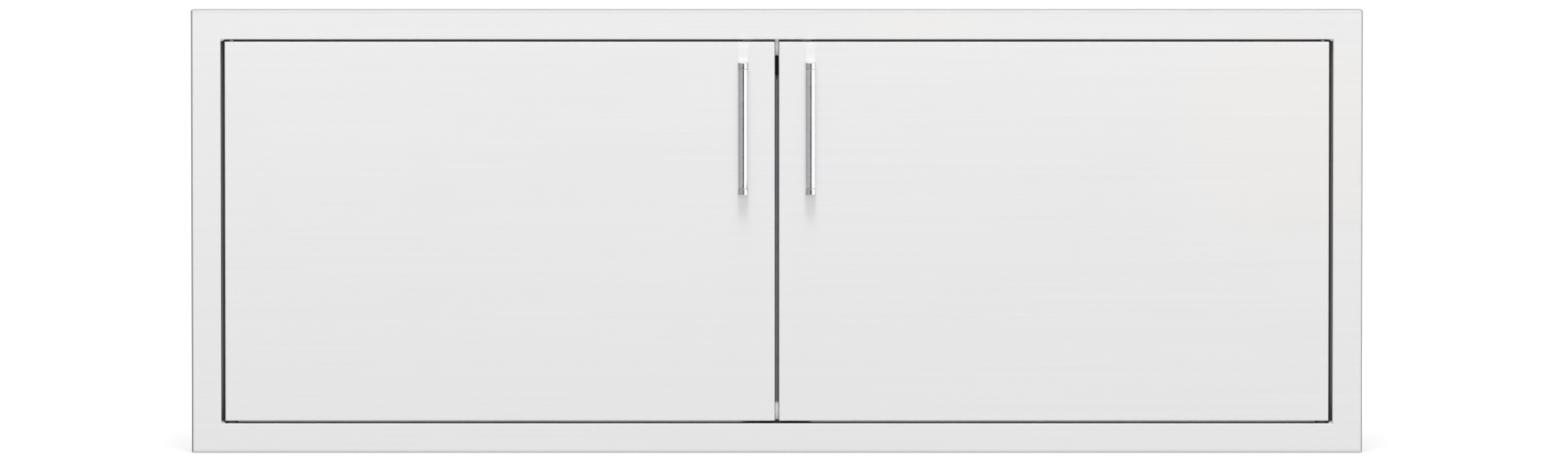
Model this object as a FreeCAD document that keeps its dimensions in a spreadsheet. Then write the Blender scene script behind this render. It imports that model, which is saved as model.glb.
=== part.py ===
import FreeCAD, Part
import os
import Sketcher

# A double access door for an outdoor kitchen: a raised stainless face frame with a folded
# surround behind it, two inset doors on pivot pins, bar pulls, a magnetic catch and a stop.
# Millimetres. X runs to the right, Y runs back into the wall and Z runs up.
# The origin is the middle of the opening, on the wall plane that the frame's back lies on.

SIZES = [
    # Face frame
    ("overall_width", 1371.6, "outside of the face frame"),
    ("overall_height", 520.7, "outside of the face frame"),
    ("flange_width", 35, "face of the frame, outer edge to opening"),
    ("stand_off", 10, "front of the frame to the wall plane"),
    ("frame_sheet", 1.2, "sheet of the frame and the surround"),
    ("outer_bend", 2.5, "outside radius of the frame's outer bends and corners"),
    ("opening_bend", 1.4, "outside radius of the bend into the opening"),
    ("opening_return", 3, "depth of the frame's edge inside the opening"),
    ("hem_width", 8, "hem that lies on the wall"),
    # Surround
    ("surround_depth", 50, "wall plane to the back of the surround"),
    ("lip_width", 12, "stiffening lip at the back of the surround"),
    ("fixing_radius", 2.75, "holes for the screws into the island"),
    ("fixing_setback", 38, "wall plane to the row of fixing holes"),
    ("side_fixing_spacing", 300, "fixing holes in each side, apart"),
    ("long_fixing_spacing", 1000, "fixing holes in the top and in the bottom, apart"),
    # Doors
    ("door_thickness", 20, "front of the skin to back of the liner"),
    ("door_sheet", 1, "sheet of the skin"),
    ("door_bend", 1.5, "outside radius of the skin's front bends"),
    ("door_corner", 1.2, "outline radius of the skin's corners"),
    ("liner_sheet", 0.9, "sheet of the liner"),
    ("liner_flange", 4, "depth of the liner's turned edge"),
    ("side_gap", 4, "door to the side of the opening"),
    ("centre_gap", 4, "door to door"),
    ("top_gap", 2.5, "door to the top of the opening"),
    ("bottom_gap", 2.8, "door to the bottom of the opening"),
    # Meeting edge seals
    ("seal_width", 10, "seal, front to back"),
    ("seal_slit", 0.6, "slit left between the two seals"),
    ("seal_top_drop", 40, "door top to seal top"),
    ("seal_bottom_rise", 22.5, "door bottom to seal bottom"),
    # Pivots
    ("pivot_inset", 8, "door's hinge edge to pivot axis"),
    ("pivot_setback", 9, "front of the door to pivot axis"),
    ("pin_radius", 3, "both pivot pins"),
    ("running_clearance", 0.05, "radial clearance of a pin in its bushing"),
    ("seat_clearance", 0.05, "radial clearance of a piece that sits in a hole"),
    ("rest_gap", 0.3, "gap between a moving piece and what it rests on"),
    ("bushing_wall", 1.9, "wall of the nylon bushings"),
    ("bushing_flange_radius", 7, "flange of the nylon bushings"),
    ("bushing_flange", 1, "thickness of that flange"),
    ("bushing_rise", 4.5, "bushing barrel beyond the sheet that it sits in"),
    ("washer_radius", 7.5, "thrust washer under each door"),
    ("bottom_pin_height", 12, "bottom pin above the floor of the opening"),
    ("pivot_plate_length", 40, "plate that carries the bottom pin"),
    ("pivot_plate_width", 12, "the same, front to back"),
    ("pivot_plate_sheet", 2, "its thickness"),
    ("pin_end_chamfer", 0.8, "lead-in at the pins' ends"),
    # Spring pins at the top
    ("pin_engagement", 3.5, "top pin above the top of the opening"),
    ("pin_travel", 8, "how far the top pin draws down"),
    ("guide_height", 45, "guide bracket, top ear to bottom ear"),
    ("guide_reach", 14, "ears of the guide bracket"),
    ("guide_width", 12, "guide bracket, front to back"),
    ("guide_sheet", 1.5, "its sheet"),
    ("tail_bend", 8, "bend of the pin's tail, to its centre line"),
    ("tail_gap", 1, "start of that bend below the bracket"),
    ("tail_reach", 14, "tail behind the door"),
    ("clip_radius", 5, "retaining clip on the pin"),
    ("clip_thickness", 0.8, "its thickness"),
    ("spring_wire", 0.9, "wire diameter of the pin spring"),
    ("spring_radius", 4.1, "spring's axis to the middle of its wire"),
    ("spring_turns", 8, "turns of the pin spring"),
    # Bar pulls
    ("handle_inset", 37.5, "door's free edge to the bar's axis"),
    ("handle_drop", 22.5, "door top to the top of the pull"),
    ("handle_length", 155, "pull, end to end"),
    ("bar_radius", 5.7, "bar of the pull"),
    ("post_radius", 6.1, "rounded front of each post"),
    ("post_thickness", 7.3, "post, top to bottom"),
    ("handle_reach", 30, "door face to the bar's axis"),
    ("spigot_radius", 3, "ends of the bar inside the posts"),
    ("spigot_length", 5, "the same, length"),
    ("backing_width", 24, "plate behind the pull, inside the door"),
    ("backing_sheet", 2, "its thickness"),
    ("backing_margin", 8, "backing plate beyond the pull's ends"),
    ("handle_screw_radius", 2, "screws of the pull"),
    ("handle_screw_reach", 12, "screw inside the post"),
    ("handle_screw_head", 4, "radius of the screws' heads"),
    ("handle_head_height", 2.6, "height of those heads"),
    ("access_hole_radius", 6.5, "holes in the liner behind the screws"),
    ("plug_rim", 1.5, "rim of a plug beyond its hole"),
    ("plug_face", 1, "thickness of that rim"),
    ("plug_depth", 4, "plug inside the liner"),
    # Magnetic catch
    ("catch_width", 64, "catch body"),
    ("catch_height", 26, "catch body"),
    ("catch_drop", 21, "top of the opening to the catch body"),
    ("catch_bracket_width", 80, "catch bracket"),
    ("catch_bracket_sheet", 1.5, "its sheet"),
    ("catch_bracket_foot", 15.5, "leg of the catch bracket along the surround"),
    ("catch_bracket_drop", 49, "its leg down"),
    ("catch_depth", 15.2, "catch body, front to back"),
    ("magnet_width", 18, "each magnet"),
    ("magnet_height", 8, "each magnet"),
    ("magnet_depth", 12, "each magnet"),
    ("magnet_spacing", 32, "magnets, middle to middle"),
    ("pole_sheet", 1.2, "pole plates above and below a magnet"),
    ("pole_proud", 0.3, "pole plates beyond the catch body"),
    ("strike_width", 22, "strike plate on each door"),
    ("strike_height", 40, "strike plate"),
    ("strike_sheet", 1.2, "strike plate"),
    ("strike_corner", 1.5, "rounding of its corners"),
    ("strike_rivet_spacing", 33, "rivets of a strike plate, apart"),
    ("rivet_radius", 1.6, "shank of a rivet"),
    ("rivet_head", 3, "radius of a rivet's head"),
    ("rivet_head_height", 1.1, "height of a rivet's head"),
    # Stop
    ("stop_width", 80, "stop bracket"),
    ("stop_height", 24, "stop bracket"),
    ("stop_sheet", 1.5, "its sheet"),
    ("stop_foot", 23, "its leg along the surround"),
    ("stop_hem", 6, "hem at its top"),
    ("stop_setback", 5, "back of the doors to the stop bracket"),
    ("bumper_radius", 4.5, "rubber bumpers"),
    ("bumper_stem", 2, "radius of a bumper's stem"),
    ("bumper_spacing", 32, "bumpers, apart"),
    ("bumper_height", 10.5, "floor of the opening to a bumper's middle"),
    # Bracket screws
    ("bracket_screw_radius", 2, "screws of the brackets"),
    ("bracket_screw_head", 3.8, "radius of their heads"),
    ("bracket_head_height", 2.4, "height of their heads"),
    ("bracket_screw_tip", 1.2, "screw beyond its nut"),
    ("nut_flats", 7, "nuts, across flats"),
    ("nut_height", 3.2, "nuts"),
    ("bracket_screw_spacing", 60, "screws of a bracket, apart"),
    ("catch_screw_radius", 1.6, "screws of the catch body"),
    ("catch_screw_depth", 9, "those screws inside the catch body"),
    ("catch_screw_spacing", 56, "those screws, apart"),
]

# Places worked out from the sizes, written as expressions of the sheet
HALF_WIDTH = "Sizes.overall_width / 2"
HALF_HEIGHT = "Sizes.overall_height / 2"
OPENING_X = "(Sizes.overall_width / 2 - Sizes.flange_width)"
OPENING_Z = "(Sizes.overall_height / 2 - Sizes.flange_width)"
FRONT = "(-Sizes.stand_off)"
DOOR_BACK = "(Sizes.door_thickness - Sizes.stand_off)"
DOOR_OUTER_X = f"(Sizes.side_gap - {OPENING_X})"
DOOR_INNER_X = "(-Sizes.centre_gap / 2)"
DOOR_WIDTH = f"({DOOR_INNER_X} - {DOOR_OUTER_X})"
DOOR_TOP = f"({OPENING_Z} - Sizes.top_gap)"
DOOR_BOTTOM = f"(Sizes.bottom_gap - {OPENING_Z})"
DOOR_HEIGHT = f"({DOOR_TOP} - {DOOR_BOTTOM})"
PIVOT_X = f"({DOOR_OUTER_X} + Sizes.pivot_inset)"
PIVOT_Y = f"({FRONT} + Sizes.pivot_setback)"
SURROUND_FRONT = f"({FRONT} + Sizes.opening_return)"
BUSHING_BORE = "(Sizes.pin_radius + Sizes.running_clearance)"
BUSHING_RADIUS = f"({BUSHING_BORE} + Sizes.bushing_wall)"
BUSHING_SEAT = f"({BUSHING_RADIUS} + Sizes.seat_clearance)"
GUIDE_TOP = f"({DOOR_TOP} - Sizes.door_sheet)"
GUIDE_BOTTOM = f"({GUIDE_TOP} - Sizes.guide_height)"
GUIDE_X = f"({DOOR_OUTER_X} + Sizes.door_sheet)"
CLIP_TOP = f"({GUIDE_TOP} - Sizes.guide_sheet - Sizes.rest_gap)"
SPRING_TOP = f"({CLIP_TOP} - Sizes.clip_thickness)"
SPRING_BOTTOM = f"({GUIDE_BOTTOM} + Sizes.guide_sheet)"
TAIL_START = f"({GUIDE_BOTTOM} - Sizes.tail_gap)"
TAIL_Z = f"({TAIL_START} - Sizes.tail_bend)"
BAR_X = f"({DOOR_INNER_X} - Sizes.handle_inset)"
BAR_Y = f"({FRONT} - Sizes.handle_reach)"
PULL_TOP = f"({DOOR_TOP} - Sizes.handle_drop)"
PULL_BOTTOM = f"({PULL_TOP} - Sizes.handle_length)"
POST_LEVELS = (
    ("upper", f"({PULL_TOP} - Sizes.post_thickness / 2)"),
    ("lower", f"({PULL_BOTTOM} + Sizes.post_thickness / 2)"),
)
STRIKE_BACK = f"({DOOR_BACK} + Sizes.strike_sheet)"
CATCH_FRONT = f"({STRIKE_BACK} + Sizes.rest_gap + Sizes.pole_proud)"
CATCH_BACK = f"({CATCH_FRONT} + Sizes.catch_depth)"
CATCH_TOP = f"({OPENING_Z} - Sizes.catch_drop)"
CATCH_Z = f"({CATCH_TOP} - Sizes.catch_height / 2)"
STOP_FRONT = f"({DOOR_BACK} + Sizes.stop_setback)"
BRACKET_SCREW_X = "(Sizes.bracket_screw_spacing / 2)"
CATCH_SCREW_Y = f"({CATCH_BACK} + Sizes.catch_bracket_sheet - Sizes.catch_bracket_foot / 2)"
STOP_SCREW_Y = f"({STOP_FRONT} + (Sizes.stop_foot + Sizes.stop_sheet) / 2)"

# How far a cutting tool runs past what it cuts
OVERRUN = 5

TURNS = {
    "X": FreeCAD.Rotation(FreeCAD.Vector(0, 1, 0), 90),
    "-X": FreeCAD.Rotation(FreeCAD.Vector(0, 1, 0), -90),
    "Y": FreeCAD.Rotation(FreeCAD.Vector(1, 0, 0), -90),
    "-Y": FreeCAD.Rotation(FreeCAD.Vector(1, 0, 0), 90),
    "Z": FreeCAD.Rotation(),
    "-Z": FreeCAD.Rotation(FreeCAD.Vector(1, 0, 0), 180),
}

doc = FreeCAD.newDocument("AccessDoor")
sheet = doc.addObject("Spreadsheet::Sheet", "Sizes")
sub_parts = []


def fill_sheet():
    for row, (alias, number, meaning) in enumerate(SIZES, start=1):
        sheet.set(f"A{row}", alias)
        sheet.set(f"B{row}", str(number))
        sheet.set(f"C{row}", meaning)
        sheet.setAlias(f"B{row}", alias)
    doc.recompute()


def value(expression):
    return float(sheet.evalExpression(str(expression)))


def bind(thing, name, expression):
    thing.setExpression(name, str(expression))


def place(thing, at, axis="Z"):
    thing.Placement = FreeCAD.Placement(FreeCAD.Vector(), TURNS[axis])
    for letter, expression in zip("xyz", at):
        bind(thing, f"Placement.Base.{letter}", expression)
    return thing


def keep(thing, label):
    """Name a finished sub-part, so that it is checked and written."""
    thing.Label = label
    sub_parts.append(thing)
    return thing


# Primitives and booleans


def box(name, low, size):
    block = doc.addObject("Part::Box", name)
    for side, expression in zip(("Length", "Width", "Height"), size):
        bind(block, side, expression)
    return place(block, low)


def frame_box(name, margin, front, depth):
    """A box about the middle of the frame, a margin inside its outline all round."""
    return box(
        name,
        (f"{margin} - {HALF_WIDTH}", front, f"{margin} - {HALF_HEIGHT}"),
        (f"Sizes.overall_width - 2 * {margin}", depth, f"Sizes.overall_height - 2 * {margin}"),
    )


def door_box(name, margin, front, depth):
    """A box a margin inside the outline of the left door all round."""
    return box(
        name,
        (f"{DOOR_OUTER_X} + {margin}", front, f"{DOOR_BOTTOM} + {margin}"),
        (f"{DOOR_WIDTH} - 2 * {margin}", depth, f"{DOOR_HEIGHT} - 2 * {margin}"),
    )


def hole(name, radius, at, axis):
    """A cutting rod that runs as far to each side of a point along X, Y or Z."""
    start = [f"{level} - {OVERRUN}" if letter == axis else level for letter, level in zip("XYZ", at)]
    return rod(name, f"({radius}) + Sizes.seat_clearance", 2 * OVERRUN, start, axis)


def rod(name, radius, length, at, axis):
    round_bar = doc.addObject("Part::Cylinder", name)
    bind(round_bar, "Radius", radius)
    bind(round_bar, "Height", length)
    return place(round_bar, at, axis)


def fuse(name, *shapes):
    union = doc.addObject("Part::MultiFuse", name)
    union.Shapes = list(shapes)
    union.Refine = True
    return union


def group(name, *shapes):
    bundle = doc.addObject("Part::Compound", name)
    bundle.Links = list(shapes)
    return bundle


def cut(name, base, *tools):
    difference = doc.addObject("Part::Cut", name)
    difference.Base = base
    difference.Tool = tools[0] if len(tools) == 1 else group(f"{name}_tools", *tools)
    difference.Refine = True
    return difference


def mirror(name, source):
    copy = doc.addObject("Part::Mirroring", name)
    copy.Source = source
    copy.Normal = FreeCAD.Vector(1, 0, 0)
    return copy


def rounded(name, base, *rounds):
    """Round edges of a shape: each round is a radius and a test that picks its edges."""
    doc.recompute()
    fillet = doc.addObject("Part::Fillet", name)
    fillet.Base = base
    edges = []
    for radius, wanted in rounds:
        size = value(radius)
        for number, edge in enumerate(base.Shape.Edges, start=1):
            if wanted(edge):
                edges.append((number, size, size))
    fillet.Edges = edges
    return fillet


def runs_along(axis):
    """Test for straight edges along X, Y or Z."""
    direction = {"X": (1, 0, 0), "Y": (0, 1, 0), "Z": (0, 0, 1)}[axis]

    def wanted(edge):
        first, last = edge.Vertexes[0].Point, edge.Vertexes[-1].Point
        run = last - first
        return run.Length > 0 and abs(run.normalize() * FreeCAD.Vector(*direction)) > 0.999

    return wanted


def lies_at_y(level):
    """Test for edges that lie wholly at one depth."""
    depth = value(level)

    def wanted(edge):
        return all(abs(corner.Point.y - depth) < 1e-6 for corner in edge.Vertexes)

    return wanted


# Sketched bodies


def plane_of(body, role):
    return next(plane for plane in body.Origin.OriginFeatures if plane.Role == role)


def sketch_on(body, role, name):
    sketch = body.newObject("Sketcher::SketchObject", name)
    sketch.AttachmentSupport = [(plane_of(body, role), "")]
    sketch.MapMode = "FlatFace"
    return sketch


def outline(sketch, points):
    """Draw a closed outline of straight lines, each corner held by two expressions."""
    places = [FreeCAD.Vector(value(across), value(up), 0) for across, up in points]
    for start, end in zip(places, places[1:] + places[:1]):
        sketch.addGeometry(Part.LineSegment(start, end))
    for line in range(len(points)):
        following = (line + 1) % len(points)
        sketch.addConstraint(Sketcher.Constraint("Coincident", line, 2, following, 1))
    for line, (across, up) in enumerate(points):
        for kind, expression in (("DistanceX", across), ("DistanceY", up)):
            dimension = Sketcher.Constraint(kind, -1, 1, line, 1, value(expression))
            index = sketch.addConstraint(dimension)
            bind(sketch, f"Constraints[{index}]", expression)


def extruded(name, role, points, length):
    """A body padded both ways from one straight-sided outline on an origin plane."""
    body = doc.addObject("PartDesign::Body", name)
    sketch = sketch_on(body, role, f"{name}_outline")
    outline(sketch, points)
    feature = body.newObject("PartDesign::Pad", f"{name}_pad")
    feature.Profile = sketch
    feature.Midplane = True
    bind(feature, "Length", length)
    doc.recompute()
    return body


def soften(body, radius, wanted):
    """Round a body's edges that a test picks."""
    solid = body.Tip
    names = [f"Edge{number}" for number, edge in enumerate(solid.Shape.Edges, start=1) if wanted(edge)]
    fillet = body.newObject("PartDesign::Fillet", f"{body.Name}_bend")
    fillet.Base = (solid, names)
    bind(fillet, "Radius", radius)
    doc.recompute()
    return fillet


def either(first, second):
    return lambda edge: first(edge) or second(edge)


def near(axis, across, up, level_across, level_up):
    """Test for edges along one axis that pass through one point of the other two."""
    along = runs_along(axis)
    first, second = value(level_across), value(level_up)

    def wanted(edge):
        point = edge.Vertexes[0].Point
        close = abs(getattr(point, across) - first) < 1e-6
        return along(edge) and close and abs(getattr(point, up) - second) < 1e-6

    return wanted


def turned(name, points, at, axis="Z"):
    """A body turned about its own axis from an outline of radius and height."""
    body = doc.addObject("PartDesign::Body", name)
    sketch = sketch_on(body, "XZ_Plane", f"{name}_outline")
    outline(sketch, points)
    feature = body.newObject("PartDesign::Revolution", f"{name}_turn")
    feature.Profile = sketch
    feature.ReferenceAxis = (sketch, ["V_Axis"])
    feature.Angle = 360
    return place(body, at, axis)


# Face frame


def face_frame():
    """One folded and welded sheet: face, outer returns, a hem on the wall and the opening's edge."""
    face_back = f"({FRONT} + Sizes.frame_sheet)"
    shell = rounded(
        "frame_shell",
        frame_box("frame_block", "0", FRONT, "Sizes.stand_off"),
        ("Sizes.outer_bend", either(runs_along("Y"), lies_at_y(FRONT))),
    )
    hollow = rounded(
        "frame_hollow",
        frame_box("frame_room", "Sizes.frame_sheet", face_back, "Sizes.stand_off - 2 * Sizes.frame_sheet"),
        ("Sizes.outer_bend - Sizes.frame_sheet", either(runs_along("Y"), lies_at_y(face_back))),
    )
    hem_room = frame_box("frame_hem_room", "Sizes.hem_width", "-Sizes.stand_off / 2", "Sizes.stand_off")
    tray = cut("frame_tray", shell, hollow, hem_room)
    # The edge turned into the opening, thickened inside the bend, before the opening is cut
    returned = frame_box(
        "frame_return", "(Sizes.flange_width - Sizes.frame_sheet)", FRONT, "Sizes.opening_return"
    )
    bend = frame_box(
        "frame_bend", "(Sizes.flange_width - Sizes.opening_bend)", FRONT, "Sizes.opening_bend"
    )
    opening = frame_box(
        "frame_opening", "Sizes.flange_width", f"{FRONT} - {OVERRUN}", f"Sizes.stand_off + 2 * {OVERRUN}"
    )
    ring = cut("frame_ring", fuse("frame_with_return", tray, returned, bend), opening)
    reach_x, reach_z = value(OPENING_X), value(OPENING_Z)

    def opening_edge(edge):
        corners = [corner.Point for corner in edge.Vertexes]
        inside = all(abs(at.x) < reach_x + 0.01 and abs(at.z) < reach_z + 0.01 for at in corners)
        return inside and lies_at_y(FRONT)(edge)

    keep(rounded("frame_rounded", ring, ("Sizes.opening_bend", opening_edge)), "face_frame")


# Surround


def long_jamb(label, side):
    """Top or bottom of the surround: a sheet with a lip turned into the opening."""
    lip = f"{side} * ({OPENING_Z} - Sizes.lip_width)"
    inner, outer = f"{side} * {OPENING_Z}", f"{side} * ({OPENING_Z} + Sizes.frame_sheet)"
    back, lip_front = "Sizes.surround_depth", "(Sizes.surround_depth - Sizes.frame_sheet)"
    profile = [
        (SURROUND_FRONT, outer),
        (back, outer),
        (back, lip),
        (lip_front, lip),
        (lip_front, inner),
        (SURROUND_FRONT, inner),
    ]
    body = extruded(f"{label}_body", "YZ_Plane", profile, f"2 * ({OPENING_X} + Sizes.frame_sheet)")
    soften(body, "Sizes.opening_bend", near("X", "y", "z", back, outer))
    soften(body, "Sizes.opening_bend - Sizes.frame_sheet", near("X", "y", "z", lip_front, inner))
    return body


def side_jamb(label, side):
    """Left or right of the surround, its lip cut back where the long ones' lips run past."""
    lip = f"{side} * ({OPENING_X} - Sizes.lip_width)"
    inner, outer = f"{side} * {OPENING_X}", f"{side} * ({OPENING_X} + Sizes.frame_sheet)"
    back, lip_front = "Sizes.surround_depth", "(Sizes.surround_depth - Sizes.frame_sheet)"
    profile = [
        (outer, SURROUND_FRONT),
        (outer, back),
        (lip, back),
        (lip, lip_front),
        (inner, lip_front),
        (inner, SURROUND_FRONT),
    ]
    body = extruded(f"{label}_body", "XY_Plane", profile, f"2 * {OPENING_Z}")
    soften(body, "Sizes.opening_bend", near("Z", "x", "y", outer, back))
    soften(body, "Sizes.opening_bend - Sizes.frame_sheet", near("Z", "x", "y", inner, lip_front))
    notches = [
        box(
            f"{label}_{end}_notch",
            (f"{side} * ({OPENING_X} - Sizes.lip_width / 2) - Sizes.lip_width", lip_front, low),
            ("2 * Sizes.lip_width", "Sizes.frame_sheet", "Sizes.lip_width"),
        )
        for end, low in (("upper", f"{OPENING_Z} - Sizes.lip_width"), ("lower", f"-{OPENING_Z}"))
    ]
    return body, notches


def fixing_holes(label, axis, middle, along, spacing):
    """A pair of fixing holes through one side of the surround."""
    holes = []
    for name, half in (("first", -0.5), ("second", 0.5)):
        at = list(middle)
        at[along] = f"({half} * {spacing})"
        start = [f"{level} - {OVERRUN}" if letter == axis else level for letter, level in zip("XYZ", at)]
        holes.append(rod(f"{label}_{name}_fixing", "Sizes.fixing_radius", 2 * OVERRUN, start, axis))
    return holes


def surround():
    """Four folded sheets welded behind the face frame, the side ones coped to the long ones."""
    long_bodies = []
    for label, side in (("top_jamb", 1), ("bottom_jamb", -1)):
        body = long_jamb(label, side)
        long_bodies.append(body)
        level = f"{side} * ({OPENING_Z} + Sizes.frame_sheet / 2)"
        tools = fixing_holes(label, "Z", ["0", "Sizes.fixing_setback", level], 0, "Sizes.long_fixing_spacing")
        screw_y = CATCH_SCREW_Y if side > 0 else STOP_SCREW_Y
        pin_seat = BUSHING_RADIUS if side > 0 else "Sizes.pin_radius"
        for name, hand in (("left", 1), ("right", -1)):
            screw_at = (f"-{hand} * {BRACKET_SCREW_X}", screw_y, level)
            tools.append(hole(f"{label}_{name}_screw_hole", "Sizes.bracket_screw_radius", screw_at, "Z"))
            pin_at = (f"{hand} * {PIVOT_X}", PIVOT_Y, level)
            tools.append(hole(f"{label}_{name}_pin_hole", pin_seat, pin_at, "Z"))
        keep(cut(label, body, *tools), label)
    for label, side in (("left_jamb", -1), ("right_jamb", 1)):
        body, notches = side_jamb(label, side)
        level = f"{side} * ({OPENING_X} + Sizes.frame_sheet / 2)"
        holes = fixing_holes(label, "X", [level, "Sizes.fixing_setback", "0"], 2, "Sizes.side_fixing_spacing")
        keep(cut(label, body, *notches, *long_bodies, *holes), label)


# Doors


def door_skin():
    """Outer pan of the left door: one sheet with its four edges folded back."""
    sheet_back = f"({FRONT} + Sizes.door_sheet)"
    shell = rounded(
        "skin_shell",
        door_box("skin_block", "0", FRONT, "Sizes.door_thickness"),
        ("Sizes.door_bend", lies_at_y(FRONT)),
        ("Sizes.door_corner", runs_along("Y")),
    )
    hollow = rounded(
        "skin_hollow",
        door_box("skin_room", "Sizes.door_sheet", sheet_back, "Sizes.door_thickness"),
        ("Sizes.door_bend - Sizes.door_sheet", lies_at_y(sheet_back)),
    )
    pin_room = "Sizes.pin_radius + Sizes.rest_gap"
    tools = [
        hollow,
        hole("skin_top_pin_hole", pin_room, (PIVOT_X, PIVOT_Y, DOOR_TOP), "Z"),
        hole("skin_bushing_hole", BUSHING_RADIUS, (PIVOT_X, PIVOT_Y, DOOR_BOTTOM), "Z"),
    ]
    for name, level in POST_LEVELS:
        tools.append(hole(f"skin_{name}_screw_hole", "Sizes.handle_screw_radius", (BAR_X, FRONT, level), "Y"))
    return cut("door_skin", shell, *tools)


def door_liner():
    """Inner pan of the left door, its edges turned forward inside the skin's returns."""
    edge = "(Sizes.door_sheet + Sizes.liner_sheet)"
    front = f"({DOOR_BACK} - Sizes.liner_flange)"
    pan = door_box("liner_block", "Sizes.door_sheet", front, "Sizes.liner_flange")
    slot_half = "(Sizes.pin_radius + Sizes.rest_gap)"
    slot_low = f"({TAIL_Z} - Sizes.pin_travel - {slot_half})"
    tools = [
        door_box("liner_room", edge, f"{front} - Sizes.liner_sheet", "Sizes.liner_flange"),
        box(
            "liner_tail_slot",
            (f"{PIVOT_X} - {slot_half}", f"{DOOR_BACK} - {OVERRUN}", slot_low),
            (f"2 * {slot_half}", 2 * OVERRUN, f"Sizes.pin_travel + 2 * {slot_half}"),
        ),
    ]
    for name, level in POST_LEVELS:
        tools.append(hole(f"liner_{name}_access", "Sizes.access_hole_radius", (BAR_X, DOOR_BACK, level), "Y"))
    for name, level in rivet_levels():
        tools.append(hole(f"liner_{name}_rivet", "Sizes.rivet_radius", (STRIKE_X, DOOR_BACK, level), "Y"))
    return cut("door_liner", pan, *tools)


def edge_seal():
    """Soft strip on the left door's free edge, round at its front and back."""
    thickness = "((Sizes.centre_gap - Sizes.seal_slit) / 2)"
    low = f"{DOOR_BOTTOM} + Sizes.seal_bottom_rise"
    middle = f"({FRONT} + Sizes.door_thickness / 2)"
    strip = box(
        "seal_strip",
        (DOOR_INNER_X, f"{middle} - Sizes.seal_width / 2", low),
        (thickness, "Sizes.seal_width", f"{DOOR_HEIGHT} - Sizes.seal_top_drop - Sizes.seal_bottom_rise"),
    )
    outer_x = value(f"{DOOR_INNER_X} + {thickness}")

    def outer_edges(edge):
        return runs_along("Z")(edge) and abs(edge.Vertexes[0].Point.x - outer_x) < 1e-6

    return rounded("edge_seal", strip, (f"{thickness} * 0.8", outer_edges))


# Pivots


def bushing(name, at, axis, sheet_size):
    """Flanged nylon bushing; its flange's face is at the height 0 of its own axis."""
    top = f"({sheet_size} + Sizes.bushing_rise)"
    return turned(
        name,
        [
            (BUSHING_BORE, "-Sizes.bushing_flange"),
            ("Sizes.bushing_flange_radius", "-Sizes.bushing_flange"),
            ("Sizes.bushing_flange_radius", "0"),
            (BUSHING_RADIUS, "0"),
            (BUSHING_RADIUS, top),
            (BUSHING_BORE, top),
        ],
        at,
        axis,
    )


def pivot_washer():
    """Black thrust washer that the left door turns on, lying on the floor of the opening."""
    hole = "Sizes.pin_radius + Sizes.seat_clearance"
    top = "Sizes.bottom_gap - Sizes.bushing_flange - Sizes.rest_gap"
    return turned(
        "pivot_washer",
        [(hole, "0"), ("Sizes.washer_radius", "0"), ("Sizes.washer_radius", top), (hole, top)],
        (PIVOT_X, PIVOT_Y, f"-{OPENING_Z}"),
    )


def bottom_pin():
    """Plate welded under the surround, with the pin that stands up through it."""
    top_of_plate = f"(-{OPENING_Z} - Sizes.frame_sheet)"
    plate = box(
        "bottom_pin_plate",
        (
            f"{PIVOT_X} - Sizes.pivot_inset",
            f"{PIVOT_Y} - Sizes.pivot_plate_width / 2",
            f"{top_of_plate} - Sizes.pivot_plate_sheet",
        ),
        ("Sizes.pivot_plate_length", "Sizes.pivot_plate_width", "Sizes.pivot_plate_sheet"),
    )
    length = "(Sizes.pivot_plate_sheet + Sizes.frame_sheet + Sizes.bottom_pin_height)"
    pin = turned(
        "bottom_pin_shank",
        [
            ("0", "0"),
            ("Sizes.pin_radius", "0"),
            ("Sizes.pin_radius", f"{length} - Sizes.pin_end_chamfer"),
            ("Sizes.pin_radius - Sizes.pin_end_chamfer", length),
            ("0", length),
        ],
        (PIVOT_X, PIVOT_Y, f"{top_of_plate} - Sizes.pivot_plate_sheet"),
    )
    return fuse("bottom_pin", plate, pin)


def pin_guide():
    """Bracket inside the left door that guides the spring pin in two ears."""
    far = f"({GUIDE_X} + Sizes.guide_reach)"
    web = f"({GUIDE_X} + Sizes.guide_sheet)"
    upper, lower = f"({GUIDE_TOP} - Sizes.guide_sheet)", f"({GUIDE_BOTTOM} + Sizes.guide_sheet)"
    body = extruded(
        "guide_body",
        "XZ_Plane",
        [
            (GUIDE_X, GUIDE_BOTTOM),
            (far, GUIDE_BOTTOM),
            (far, lower),
            (web, lower),
            (web, upper),
            (far, upper),
            (far, GUIDE_TOP),
            (GUIDE_X, GUIDE_TOP),
        ],
        "Sizes.guide_width",
    )
    place(body, ("0", PIVOT_Y, "0"))
    bore = rod(
        "guide_bore",
        BUSHING_BORE,
        f"Sizes.guide_height + 2 * {OVERRUN}",
        (PIVOT_X, PIVOT_Y, f"{GUIDE_BOTTOM} - {OVERRUN}"),
        "Z",
    )
    return cut("pin_guide", body, bore)


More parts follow.
